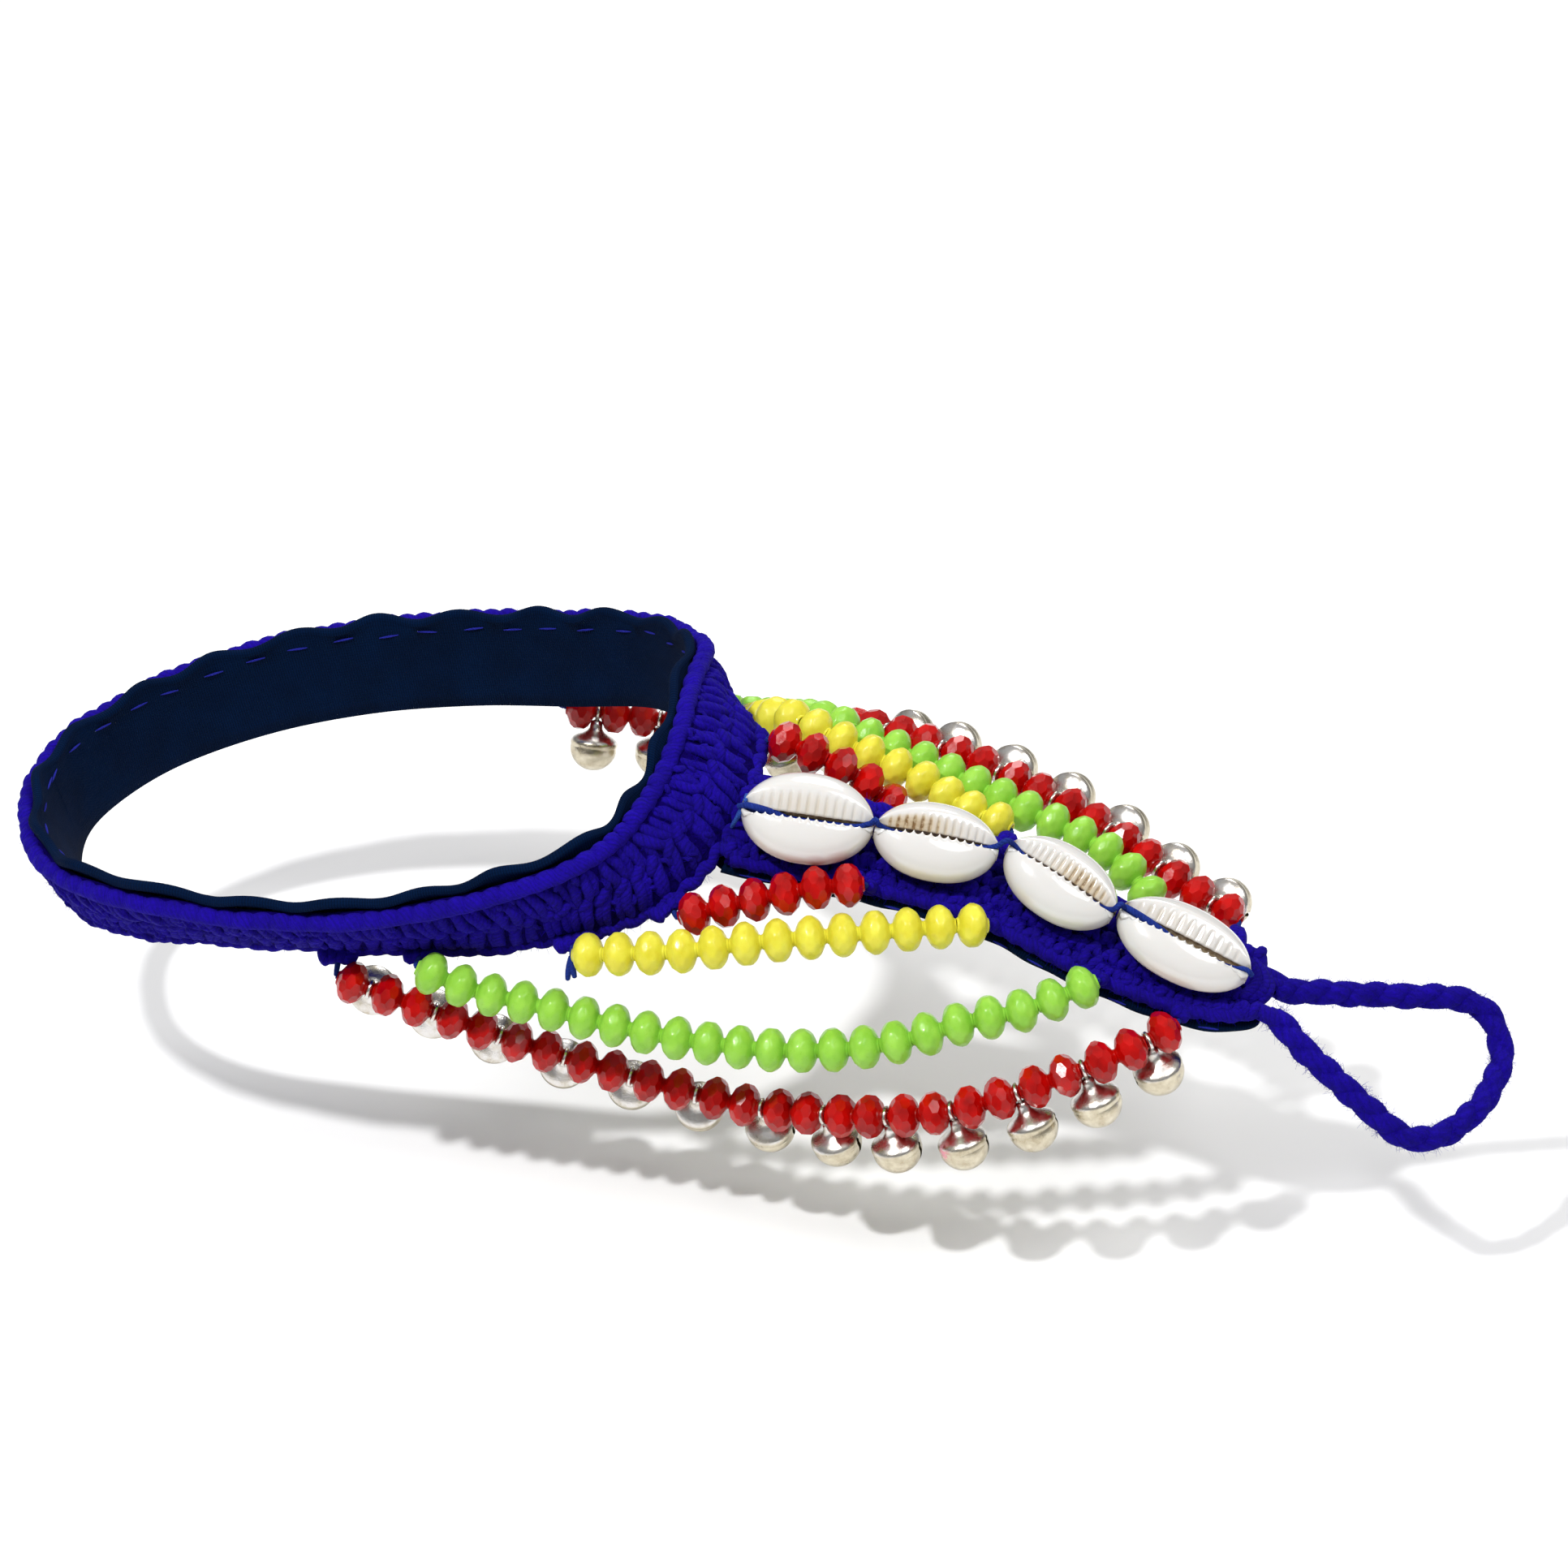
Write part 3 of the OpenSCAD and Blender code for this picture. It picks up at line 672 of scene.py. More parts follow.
def hairs(shape, roots, outward, along, count):
    """Loose fibres: thin curved threads that start in the yarn."""
    pick = rng.integers(0, len(roots), count)
    root, out, way = roots[pick], outward[pick], along[pick]
    spin = rng.normal(0, 0.7, (count, 3))
    first = unit(out + spin * 0.7)
    second = unit(out * 0.3 + way * rng.choice([-1, 1], (count, 1)) + spin)
    long = np.minimum(rng.gamma(2.0, HAIR_REACH / 2, count), 2 * HAIR_REACH)[:, None]
    t = np.linspace(0, 1, HAIR_STEPS)
    bend = 0.45 * first[:, None] * t[:, None] + 0.9 * second[:, None] * (t**1.6)[:, None]
    centre = root[:, None] + bend * long[:, None]
    turn = turns(HAIR_SIDES)[:, None]
    side = unit(cross(first, UP + 0.01))
    up = cross(side, first)
    ring = side[:, None, None] * cos(turn) + up[:, None, None] * sin(turn)
    thin = HAIR_RADIUS * (1 - 0.5 * t)[:, None, None]
    for hair in centre[:, :, None] + ring * thin:
        shape.grid(hair, around=True)


def strip_fuzz(name, strip, s, rows, lift):
    """Loose fibres of a strip, rooted at its marks s. rows: across, out, rise, number."""
    fuzz = Shape()
    _, along, side, normal = strip.frame(s)
    for across, out, rise, count in rows:
        hairs(fuzz, strip.on(s, across, out), unit(side * rise + normal * lift), along, count)
    fuzz.piece(name, [wool_fuzz])


def make_band():
    """Crochet of the ankle band: an edge cord, two tiers of loops and a soft lower edge."""
    shape = Shape()
    length = band.length
    # Wool behind the stitches, coloured dark as painted shade for the shade between them
    low, high = -BAND_W / 2 + 0.7, BAND_W / 2 - 0.7
    outline = np.array([
        [high, 1.5], [high - 0.8, 2.3], [0, 2.4], [low + 0.8, 2.3], [low, 1.5], [low, 0.5],
        [low + 0.3, 0.2], [0, 0.2], [high - 0.3, 0.2], [high, 0.5],
    ])
    s = np.arange(0, length, 1.2)
    shape.grid(band.on(s[:, None], *outline.T), around=True, along=True, slot=1)

    # Edge cord along the top and the softer one along the bottom
    stitches = round(length / STITCH_PITCH)
    pitch = length / stitches
    s = np.arange(0, length, 0.55)
    lap = 2 * pi * s / length
    beat = sin(lap * stitches)
    drift = sin(17 * lap) + 0.6 * sin(41 * lap + 1)
    top = band.on(s, EDGE_HEIGHT + 0.18 * beat + 0.12 * drift, 1.95 + 0.12 * drift)
    shape.strand(top, EDGE_RADIUS + 0.06 * beat, band.normal(s), sides=12, slot=2, closed=True)
    bottom = band.on(s, HEM_HEIGHT + 0.3 * sin(lap * stitches + 1) - 0.25 * drift, 1.55 + 0.1 * drift)
    shape.strand(bottom, HEM_RADIUS + 0.14 * beat, band.normal(s), sides=10, closed=True)

    # Two tiers of loops, which lean against each other
    for k in range(stitches):
        middle = (k + 0.5) * pitch
        jitter = rng.normal(0, 1, 8)
        lean = 0.9 + 0.35 * jitter[0]
        stitch(
            shape, band,
            (middle - lean, 6.2, 1.6), (middle + lean, -0.9 + 0.4 * jitter[1], 2.0),
            STITCH_WIDTH + 0.2 * jitter[2], STITCH_RISE + 0.14 * jitter[3], 0.4 * jitter[4],
        )
        half = middle + pitch / 2
        stitch(
            shape, band,
            (half + 0.9, 0.7, 1.9), (half - 0.7 + 0.4 * jitter[5], -6.6, 1.5),
            STITCH_WIDTH + 0.2 * jitter[6], STITCH_RISE + 0.14 * jitter[7], -0.4,
        )
        leaf(
            shape, band,
            (middle - 1.3, -1.4 + 0.3 * jitter[5], 2.1), (middle + 1.4, 1.2 + 0.3 * jitter[6], 2.2),
            2.0, 0.4, 0.3 * jitter[3], 7,
        )
        for _ in range(4):
            # Stray strands that blur the rows
            stray, high = middle + rng.uniform(-1.5, 1.5), rng.uniform(-6.2, 4.6)
            slant, reach = rng.normal(0, 0.9), rng.uniform(1.6, 3.4)
            leaf(
                shape, band, (stray, high, 2.1), (stray + slant, high + reach, 2.1),
                rng.uniform(0.7, 1.3), rng.uniform(0.5, 0.9), 0.3, 6, 5,
            )

    strip_fuzz("band_fuzz", band, rng.uniform(0, length, BAND_ROOTS), BAND_HAIRS, 0.6)
    shape.piece("band_crochet", [yarn_blue, wool_painted_shade, edge_blue], ["band"])


def strap_outline(s0, s1, inset, step):
    """Places round the strap's edge: out along the inner side, round the end and back."""
    s = np.arange(s0, s1, step)
    half = strap_half(s) - inset
    tip = strap.length - inset
    across = np.linspace(-1, 1, TIP_STEPS + 2)[1:-1] * (strap_half(tip) - inset)
    return np.r_[s, np.full(TIP_STEPS, tip), s[::-1]], np.r_[-half, across, half[::-1]]


def make_strap():
    """Crochet of the instep strap: rows of small slanted loops inside an edge cord."""
    shape = Shape()
    length = strap.length
    s = np.append(strap_marks(1.5, 7)[:-1], length - 0.5)
    # Body of wool under the loops, coloured dark as painted shade for the shade between them
    section = np.array([
        [1, 1.3], [0.9, 1.9], [0.3, 2.0], [-0.3, 2.0], [-0.9, 1.9], [-1, 1.3], [-1, 0.5], [-0.9, 0.2],
        [0, 0.2], [0.9, 0.2], [1, 0.5],
    ])
    across = (strap_half(s) - 0.5)[:, None] * section[:, 0]
    shape.grid(with_caps(strap.on(s[:, None], across, section[:, 1])), around=True, slot=1)

    ring_s, ring_a = strap_outline(0.5, length * 0.995, 1.15, 0.7)
    rope = Path(strap.on(ring_s, ring_a, 1.5 + 0.15 * sin(np.arange(len(ring_s)) * 1.7)), steps=2)
    marks = np.arange(0, rope.length, 0.6)
    radius = STRAP_EDGE_RADIUS + 0.12 * sin(2 * pi * marks / 3.1)
    shape.strand(rope.at(marks), radius, STRAP_FACING, sides=10)

    for r in range(STRAP_ROWS):
        across = (r - (STRAP_ROWS - 1) / 2) * STRAP_PITCH
        for k in range(int(length / STRAP_PITCH) + 1):
            middle = (k + 0.5 * (r % 2)) * STRAP_PITCH + 0.6
            if middle > length - 1.2 or abs(across) > strap_half(middle) - 1.0:
                continue
            jitter = rng.normal(0, 1, 8)
            for way in (-1, 1):
                start = (middle + way * 0.15, across - 1.45, 1.7)
                end = (middle + way * 1.25 + 0.15 * jitter[2], across + 1.35 + 0.2 * jitter[3])
                leaf(
                    shape, strap, start, (*end, 2.1 + 0.1 * jitter[0]),
                    1.75 + 0.15 * jitter[4 + (way > 0)], STITCH_RISE + 0.12 * jitter[6], 0.2 * way,
                )
            for _ in range(2):
                shift, slant, reach = rng.uniform(-1, 1), rng.normal(0, 0.7), rng.uniform(1.0, 2.0)
                start = (middle + shift, across - reach / 2, 2.1)
                leaf(
                    shape, strap, start, (start[0] + slant, across + reach / 2, 2.1),
                    rng.uniform(0.6, 1.1), rng.uniform(0.4, 0.8), 0.2, 6, 5,
                )
    s = rng.uniform(0.5, length - 1, STRAP_ROOTS)
    edge, inner = strap_half(s) - 0.3, strap_half(s) * 0.6
    rows = ((edge, 1.6, 1, 600), (-edge, 1.6, -1, 900), (inner, 3, 0.1, 900), (-inner, 3, -0.1, 1200))
    strip_fuzz("strap_fuzz", strap, s, rows, 0.7)
    shape.piece("strap_crochet", [yarn_blue, wool_painted_shade], ["strap"])


def nearest_band(point, high, out):
    """Place on the band, at a height and depth of its face, that is nearest to a point."""
    s = np.arange(0, band.length, 0.5)
    places = band.on(s, high, out)
    best = np.linalg.norm(places - point, axis=1).argmin()
    return places[best], s[best]


def nearest_strap(point, out):
    """Place on the strap's edge that is nearest to a point."""
    s = np.arange(0, strap.length, 0.5)
    places = np.concatenate([strap.on(s, way * (strap_half(s) - 1.2), out) for way in (-1, 1)])
    return places[np.linalg.norm(places - point, axis=1).argmin()]


def bridge(shape, start, end, facing, width, bulge=0.0, slot=0, sides=8, rings=9):
    """One strand of yarn or thread from place to place, with rounded ends."""
    t = np.r_[0, 0.015, np.linspace(0.05, 0.95, rings), 0.985, 1]
    arch = sin(pi * t)
    centre = start + (end - start) * t[:, None] + facing * bulge * arch[:, None]
    radius = width / 2 * (0.6 + 0.4 * arch**0.5)
    radius[[0, -1]] *= 0.05
    radius[[1, -2]] *= 0.7
    shape.strand(centre, radius, facing, sides=sides, slot=slot, u_start=rng.uniform(0, 9))


def join_strap(shape):
    """Crochet that joins the strap to the band, and the toe loop to the strap's end."""
    facing = strap.normal(0.0)
    for across in np.arange(-6.6, 6.7, 1.65):
        for back, out, width in ((0.0, 1.9, 2.4), (0.8, 1.0, 2.2)):
            end = strap.on(1.2, across + back, out)
            start, _ = nearest_band(end, -BAND_W / 2 + 1.2, out)
            bridge(shape, start, end, facing, width + rng.normal(0, 0.12), 0.35)
    tip = strap.length
    _, ahead, side, facing = strap.frame(tip)
    for back, high, width in ((2.4, 0.7, 2.2), (2.0, 1.6, 2.3), (2.8, 2.3, 2.2), (4.0, 2.7, 2.0)):
        ends = [strap.on(tip - back, across, high) for across in (-4.4, 4.4)]
        bridge(shape, *ends, ahead, width, 2.4, sides=10, rings=13)
    for mark in (3.2, loop.length - 3.2):
        there = loop.at(mark)
        across = (there - strap.at(tip)[:3]) @ side
        for spread, out, width in ((-1.1, 1.7, 2.3), (0.9, 1.9, 2.3), (0.0, 0.7, 2.2)):
            start = strap.on(tip - 2.2, np.clip(across + spread, -4.5, 4.5), out)
            bridge(shape, start, there + facing * 0.3 * out, facing, width, 0.3)


def join_string(shape, first, last, reach):
    """Crochet that hangs down over the two ends of a string."""
    root, s = nearest_band(first, -BAND_W / 2 + 1.4, 1.2)
    _, along, _, normal = band.frame(s)
    for shift in (-2.2, -0.8, 0.8, 2.2):
        end = root + (first - root) * reach + along * shift * 0.6
        bridge(shape, root + along * shift * 1.3, end, normal, 2.4, 0.5)
    root = nearest_strap(last, 1.2)
    ahead = strap.heading(strap.length / 2)
    for shift in (-0.9, 0.9):
        end = root + (last - root) * 0.7 + ahead * shift * 0.4
        bridge(shape, root + ahead * shift, end, UP, 2.2, 0.4)


def make_loop():
    """Toe loop: two thick soft strands that wind round each other."""
    shape = Shape()
    length = loop.length
    s = np.arange(0, length + 0.01, 0.5)
    centre, _, side, up = loop.frame(s, 1.5)
    taper = np.clip(np.minimum(s, length - s) / 1.5, 0, 1) * 0.15 + 0.85
    for turn in (0, pi):
        angle = (2 * pi * s / LOOP_WIND + turn)[:, None]
        out = up * sin(angle) - side * cos(angle)
        swell = LOOP_RADIUS + 0.1 * sin(4 * pi * s / LOOP_WIND + turn)
        strand = centre + out * LOOP_OFFSET * taper[:, None]
        shape.strand(strand, swell * taper, unit(out), sides=14, u_start=turn)
    fuzz = Shape()
    s = rng.uniform(0, length, LOOP_HAIRS)
    centre, along, side, up = loop.frame(s, 1.5)
    angle = rng.uniform(0, 2 * pi, len(s))[:, None]
    out = up * sin(angle) - side * cos(angle)
    hairs(fuzz, centre + out * LOOP_SKIN, out, along, len(s))
    fuzz.piece("loop_fuzz", [wool_fuzz])
    shape.piece("toe_loop_cord", [loop_blue], ["toe_loop"])


# Lining
LINING_OUTER = -SEAM / 2
LINING_INNER = LINING_OUTER - LINING_T
LINING_MIDDLE = LINING_OUTER - LINING_T / 2
ROLL_RADIUS = 0.85

# Stitches along the linings: distance from one to the next, length, shift
BAND_DASHES = 7.5, 3.4, 0.8
STRAP_DASHES = 6.5, 2.8, 0.6


def make_band_lining():
    """Lining strip of the band with its rolled, rippled top edge."""
    shape = Shape()
    length = band.length
    s = np.arange(0, length, 0.7)
    lap = 2 * pi * s / length
    slow = sin(9 * lap + 0.8) + 0.5 * sin(31 * lap)
    top = BAND_W / 2 + LINING_STAND + LINING_RIPPLE * (sin(RIPPLES * lap) + 0.25 * slow) - 0.3
    tip_out = LINING_MIDDLE + 0.35 * sin(RIPPLES * lap + 1.2) + 0.25
    low, neck = -BAND_W / 2, BAND_W / 2 - 0.6
    rows = []
    for share in np.linspace(0, 1, 7):
        sway = 0.12 * sin(2 * pi * s / 23 + 3 * share) * share
        rows.append((low + (neck - low) * share + 0 * s, LINING_INNER + sway))
    for a in radians(np.linspace(200, -20, 12)):
        rows.append((top - ROLL_RADIUS + ROLL_RADIUS * sin(a), tip_out + ROLL_RADIUS * cos(a)))
    for high in (neck, low):
        rows.append((high + 0 * s, LINING_OUTER + 0 * s))
    high, out = columns(*rows)
    v = np.r_[0, np.cumsum(np.hypot(np.diff(high[0]), np.diff(out[0])))]
    uv = lattice(np.append(s, length), np.append(v, v[-1] + 1))
    shape.grid(band.on(s[:, None], high, out), uv, around=True, along=True)
    cloth = shape.piece("band_lining_cloth", [lining_cloth], ["band_lining"])


def make_strap_lining():
    """Lining under the strap, whose folded hem shows past its edges."""
    shape = Shape()
    s = strap_marks(1.0, 12)
    fat = LINING_T / 2
    half = strap_half(s) + LINING_MARGIN + 0.15 * sin(2 * pi * s / 9) - fat
    turn = radians(np.linspace(-90, 90, 7))
    side = [half + fat * cos(a) for a in turn]
    high = [LINING_MIDDLE + fat * sin(a) for a in turn]
    across = columns(*side, 0 * s, *(-row for row in side[::-1]), 0 * s)
    out = np.array([*high, LINING_MIDDLE + fat, *high[::-1], LINING_MIDDLE - fat])
    points = with_caps(strap.on(s[:, None], across, out))
    uv = lattice(np.r_[s[0], s, s[-1]], np.linspace(0, 34, len(out) + 1))
    shape.grid(points, uv, around=True)
    # Flap that runs on from the strap's start to the lower edge of the band's lining
    across = np.linspace(-STRAP_W / 2 - 0.4, STRAP_W / 2, 15)
    near = strap.on(np.full(len(across), 0.6), across, LINING_MIDDLE)
    far = np.array([nearest_band(place, -BAND_W / 2 + 0.6, LINING_MIDDLE)[0] for place in near])
    facing = strap.normal(0.0)
    flap = np.stack([near + (far - near) * t - facing * 0.5 * sin(pi * t) for t in np.linspace(0, 1, 5)])
    rise = facing * 0.35
    ring = np.r_[flap + rise, (flap - rise)[::-1]]
    shape.grid(ring, lattice(np.arange(len(ring) + 1.0), across), along=True)
    cloth = shape.piece("strap_lining_cloth", [lining_cloth], ["strap_lining"])


def dash_marks(start, end, pitch, long, shift):
    """Both ends of each stitch along a strip."""
    for mark in np.arange(start, end, pitch):
        yield np.array([mark, mark + long]) + rng.uniform(-shift, shift)


def running_stitches():
    """Short lighter stitches that hold the linings: a dash in the cloth every few millimetres."""
    shape = Shape()

    def dash(points):
        t = np.linspace(0, 1, 5)
        centre = points[0] + (points[1] - points[0]) * t[:, None]
        shape.strand(centre, 0.2 * (0.4 + 0.6 * sin(pi * t)), UP + 0.01, sides=5)

    for marks in dash_marks(0, band.length, *BAND_DASHES):
        dash(band.on(marks, BAND_W / 2 - 1.6 + rng.uniform(-0.4, 0.4, 2), LINING_INNER - 0.1))
    for marks in dash_marks(2, strap.length - 9, *STRAP_DASHES):
        for way in (-1, 1):
            dash(strap.on(marks, way * (strap_half(marks) + LINING_MARGIN - 0.12), LINING_OUTER - 0.1))
    shape.piece("lining_stitches", [seam_blue])


# Shells
SHELL_MIDDLE = 0.42 * SHELL_H
SLIT_FLOOR = 0.45 * SHELL_H


def shell_frame(i):
    s, across, turn = SHELLS[i][:3]
    place, along, side, out = strap.frame(float(s))
    turn = radians(turn)
    return (
        place + side * across + out * (SEAM / 2 + STRAP_T + REST_GAP),
        along * cos(turn) + side * sin(turn),
        side * cos(turn) - along * sin(turn),
        out,
    )


def shell_swell(u):
    """Share of a shell's full width at u, from -1 to 1 along it."""
    return (1 - np.abs(u) ** 2.2) ** 0.55


def make_shell(i):
    """One cowrie on its back: a ridged slope inside the far lip, short teeth on the near one."""
    shape = Shape()
    place, along, side, out = shell_frame(i)
    length, width = SHELLS[i][3:]
    opening, ridge_pitch, stained, stain_at, stain_reach, bow = SHELL_WEAR[i]
    share = np.linspace(-1, 1, 170)
    u = 0.992 * (0.75 * share + 0.25 * sin(pi / 2 * share))
    x_mm = u * length / 2
    half = np.maximum(1.15, width / 2 * shell_swell(u))
    top = SHELL_H * (0.62 + 0.38 * np.sqrt(1 - u * u))
    up, down = top - SHELL_MIDDLE, SHELL_MIDDLE - SHELL_H * 0.34 * np.abs(u) ** 3
    full = half / (width / 2)
    gap = opening + 1.3 * np.exp(-(((u + 1) / 0.16) ** 2)) + 0.7 * np.exp(-(((u - 1) / 0.1) ** 2))
    far_x = np.minimum(0.1 + gap / 2, 0.6 * half) - bow * full
    near_x = np.minimum(0.5 + gap / 2, 0.6 * half) + bow * full
    ends = np.clip((0.9 - np.abs(u)) / 0.15, 0, 1)

    def groove(pitch, phase, sharp):
        return np.abs(cos(pi * x_mm / pitch + phase)) ** sharp

    ridge = groove(ridge_pitch, 0.4, 6) * ends
    tooth = (1 - groove(1.35, 1.1, 0.55)) * ends
    brown_share = stained * np.exp(-(((u - stain_at) / stain_reach) ** 2))
    rows = []

    def row(x, z, mark=0.0):
        rows.append((x + 0 * u, z + 0 * u, mark + 0 * u))

    # Far lip from the slit's floor: wall, ridged slope and crest
    low = top - 0.9 - 0.9 * full
    crest_x, crest_z = 0.53 * half, SHELL_MIDDLE + 0.87 * up
    # The slit's floor and walls get a high mark: tan and brown painted shade deep in the slit.
    row(far_x + 0.35, SLIT_FLOOR, 0.6)
    row(far_x + 0.15, np.maximum(low - 0.5, SLIT_FLOOR + 0.1), 0.6)
    for t in np.linspace(0, 1, 12):
        depth = sin(pi * min(t + 0.25, 1)) ** 0.5 if t < 1 else 0
        # Mark on the slope: a faint tint, the stains, and the grooves between the ridges tinted partly as
        # their cream stain and partly as painted shade.
        mark = (0.02 + 0.06 * ridge + brown_share * (0.45 + 0.5 * ridge)) * depth
        z = low + (crest_z - low) * (1 - (1 - t) ** 1.5)
        row(far_x + (crest_x - far_x) * t, z - 0.3 * ridge * depth * full, mark)
    for a in radians(np.linspace(52, -86, 24)):
        row(half * cos(a), SHELL_MIDDLE + (up if a > 0 else down) * sin(a))
    # Near lip: round side, crest, toothed edge and wall
    for a in radians(np.linspace(-86, 76 - 8 * bow, 28)):
        row(-half * cos(a), SHELL_MIDDLE + (up if a > 0 else down) * sin(a))
    edge_x = -near_x - 0.15 + 0.75 * tooth
    sunk = (1 - tooth) * ends
    row((-0.24 * half + edge_x * 2) / 3 - 0.15, top - 0.12 - 0.1 * sunk)
    # These marks rise down the near wall into the slit as painted shade.
    row(edge_x - 0.12, top - 0.32 - 0.12 * sunk, 0.08)
    row(edge_x, top - 0.65, 0.12)
    row(edge_x - 0.1, top - 1.0, 0.3)
    row(-near_x - 0.3, SLIT_FLOOR, 0.6)
    xs, zs, marks = columns(*rows)
    points = with_caps(place + x_mm[:, None, None] * along + xs[..., None] * side + zs[..., None] * out)
    ringed = np.r_[0, np.arange(len(u)), len(u) - 1]
    zs = np.c_[zs, zs[:, :1]]
    uv = columns(np.repeat(x_mm[:, None], zs.shape[1], 1), zs)[ringed]
    shape.grid(points, uv, around=True, mark=np.clip(marks, 0, 1)[ringed])
    shape.piece(f"cowrie_{i + 1}_shell", [shell_ivory], [f"cowrie_{i + 1}"])


def in_slit(i, share, high):
    """Place in a shell's slit, at a share of the shell's length from its middle."""
    place, along, side, out = shell_frame(i)
    bow = SHELL_WEAR[i][-1] * shell_swell(min(abs(2 * share), 1))
    return place + along * SHELLS[i][3] * share - side * bow + out * high


def make_shell_cord():
    """Cord that runs through the slits and climbs over the shells' ends."""
    low = SLIT_FLOOR + SHELL_CORD_D / 2 + 2 * REST_GAP
    rising, high, tucked = 5.4, 6.8, 4.3
    rows = [in_slit(0, -0.52, tucked)]
    for i in range(len(SHELLS)):
        if i:
            rows.append((in_slit(i - 1, 0.5, high) + in_slit(i, -0.5, high)) / 2)
        rows += [in_slit(i, *at) for at in ((-0.46, rising), (-0.3, low), (0.3, low), (0.46, rising))]
    path = Path([*rows, in_slit(len(SHELLS) - 1, 0.52, tucked)])
    shape = Shape()
    shape.strand(path.at(np.arange(0, path.length, 0.35)), SHELL_CORD_D / 2, STRAP_FACING, sides=10)
    shape.piece("shell_tie_cord", [cord_navy], ["shell_cord"])


def make_ties():
    """Threads from the first shell to the band, and thicker cord in two of the slits."""
    shape = Shape()
    facing = strap.normal(0.0)
    tip = in_slit(0, -0.5, 5.2)
    _, along, side, _ = shell_frame(0)
    for offset, fan in ((-1.2, -3.2), (-0.4, -1.2), (0.4, 0.8), (1.2, 2.8), (1.6, 4.2)):
        end, _ = nearest_band(tip + side * fan, -BAND_W / 2 + 1.6, 3.2)
        bridge(shape, tip + side * offset * 0.5 + along * 0.6, end, facing, 0.75, 0.5)
    for i, reach in ((0, -0.15), (3, -0.05)):
        ends = in_slit(i, -0.49, 5.6), in_slit(i, reach, 4.2)
        bridge(shape, *ends, shell_frame(i)[3], 1.4, 0.25, 1, rings=13)
    shape.piece("shell_ties", [stitch_blue, cord_navy])


# Beads and bells
# Facets of a bead, ring by ring. Columns: slope of their normals from the equator,
# distance from the bead's middle, offset in facets
BEAD_FACETS = [[0, 3.4, 0], [38, 3.05, 0.5], [-38, 3.05, 0.5], [64, 2.62, 0], [-64, 2.62, 0]]
FACETS = 9
BEAD_COLUMNS, BEAD_ROWS, BEAD_SOFT = 45, 19, 130
BEAD_RADIUS, BEAD_HALF = BEAD_D / 2, BEAD_T / 2

# Length of thread that shows past the last bead
THREAD_PAST = 0.6


def bead_planes():
    """Cutting planes of a bead's facets, each as its direction over its distance."""
    planes = [[0, 0, 1 / BEAD_HALF], [0, 0, -1 / BEAD_HALF]]
    for slope, distance, offset in BEAD_FACETS:
        b = radians(slope)
        for a in 2 * pi * (np.arange(FACETS) + offset) / FACETS:
            planes.append(np.array([cos(b) * cos(a), cos(b) * sin(a), sin(b)]) / distance)
    return np.array(planes)


def soft_bead():
    """One bead with worn facets, its hole along Z, as rows of points."""
    b, a = np.meshgrid(radians(np.linspace(-70, 70, BEAD_ROWS)), turns(BEAD_COLUMNS), indexing="ij")
    way = columns(cos(b) * cos(a), cos(b) * sin(a), sin(b))
    way = way * [BEAD_RADIUS, BEAD_RADIUS, BEAD_HALF]
    reach = np.maximum(way @ bead_planes().T, 0)
    body = way * ((reach**BEAD_SOFT).sum(-1) ** (-1 / BEAD_SOFT))[..., None]
    body[..., :2] *= BEAD_RADIUS / np.linalg.norm(body[..., :2], axis=-1).max()
    body[..., 2] *= BEAD_HALF / np.abs(body[..., 2]).max()
    return body


def bead_facets():
    """Flat faces of one crisp bead: the corners where three cutting planes meet."""
    planes = bead_planes()
    triples = planes[np.array(list(itertools.combinations(range(len(planes)), 3)))]
    triples = triples[np.abs(np.linalg.det(triples)) > 1e-6]
    corners = np.linalg.solve(triples, np.ones((len(triples), 3, 1)))[..., 0]
    corners = corners[(corners @ planes.T).max(1) < 1 + 1e-6]
    scale = BEAD_RADIUS / np.linalg.norm(corners[:, :2], axis=1).max()
    faces = []
    for plane in planes:
        ring = np.unique(np.round(corners[np.abs(corners @ plane - 1) < 1e-6], 5), axis=0)
        if len(ring) < 3:
            continue
        spoke = ring - ring.mean(0)
        across = unit(cross(plane, spoke[0]))
        angle = np.arctan2(spoke @ across, spoke @ unit(spoke[0]))
        faces.append(ring[np.argsort(angle)] * [scale, scale, 1])
    return faces


def bead_stubs():
    """Short rims round the two ends of a bead's hole."""
    bore, lip = BEAD_BORE / 2, 1.2
    profile = [[bore, -0.3], [bore, 0.3], [lip - 0.1, 0.3], [lip, 0.16], [lip + 0.2, -0.2]]
    ring = columns(cos(turns(16)), sin(turns(16)), 0 * turns(16))
    for way in (-1, 1):
        rows = [ring * radius + [0, 0, way * (BEAD_HALF + high)] for radius, high in profile]
        yield np.stack(rows), way < 0


def spread(count, pitch, length):
    """Marks that are spread evenly about the middle of a string."""
    return length / 2 + (np.arange(count) - (count - 1) / 2) * pitch


def bead_marks(kind, count, pitch, length):
    if kind == "bell":
        return (spread(BELL_COUNT, pitch, length)[:, None] + np.array([-0.5, 0.5]) * PAIR_PITCH).ravel()
    return spread(count, pitch, length)


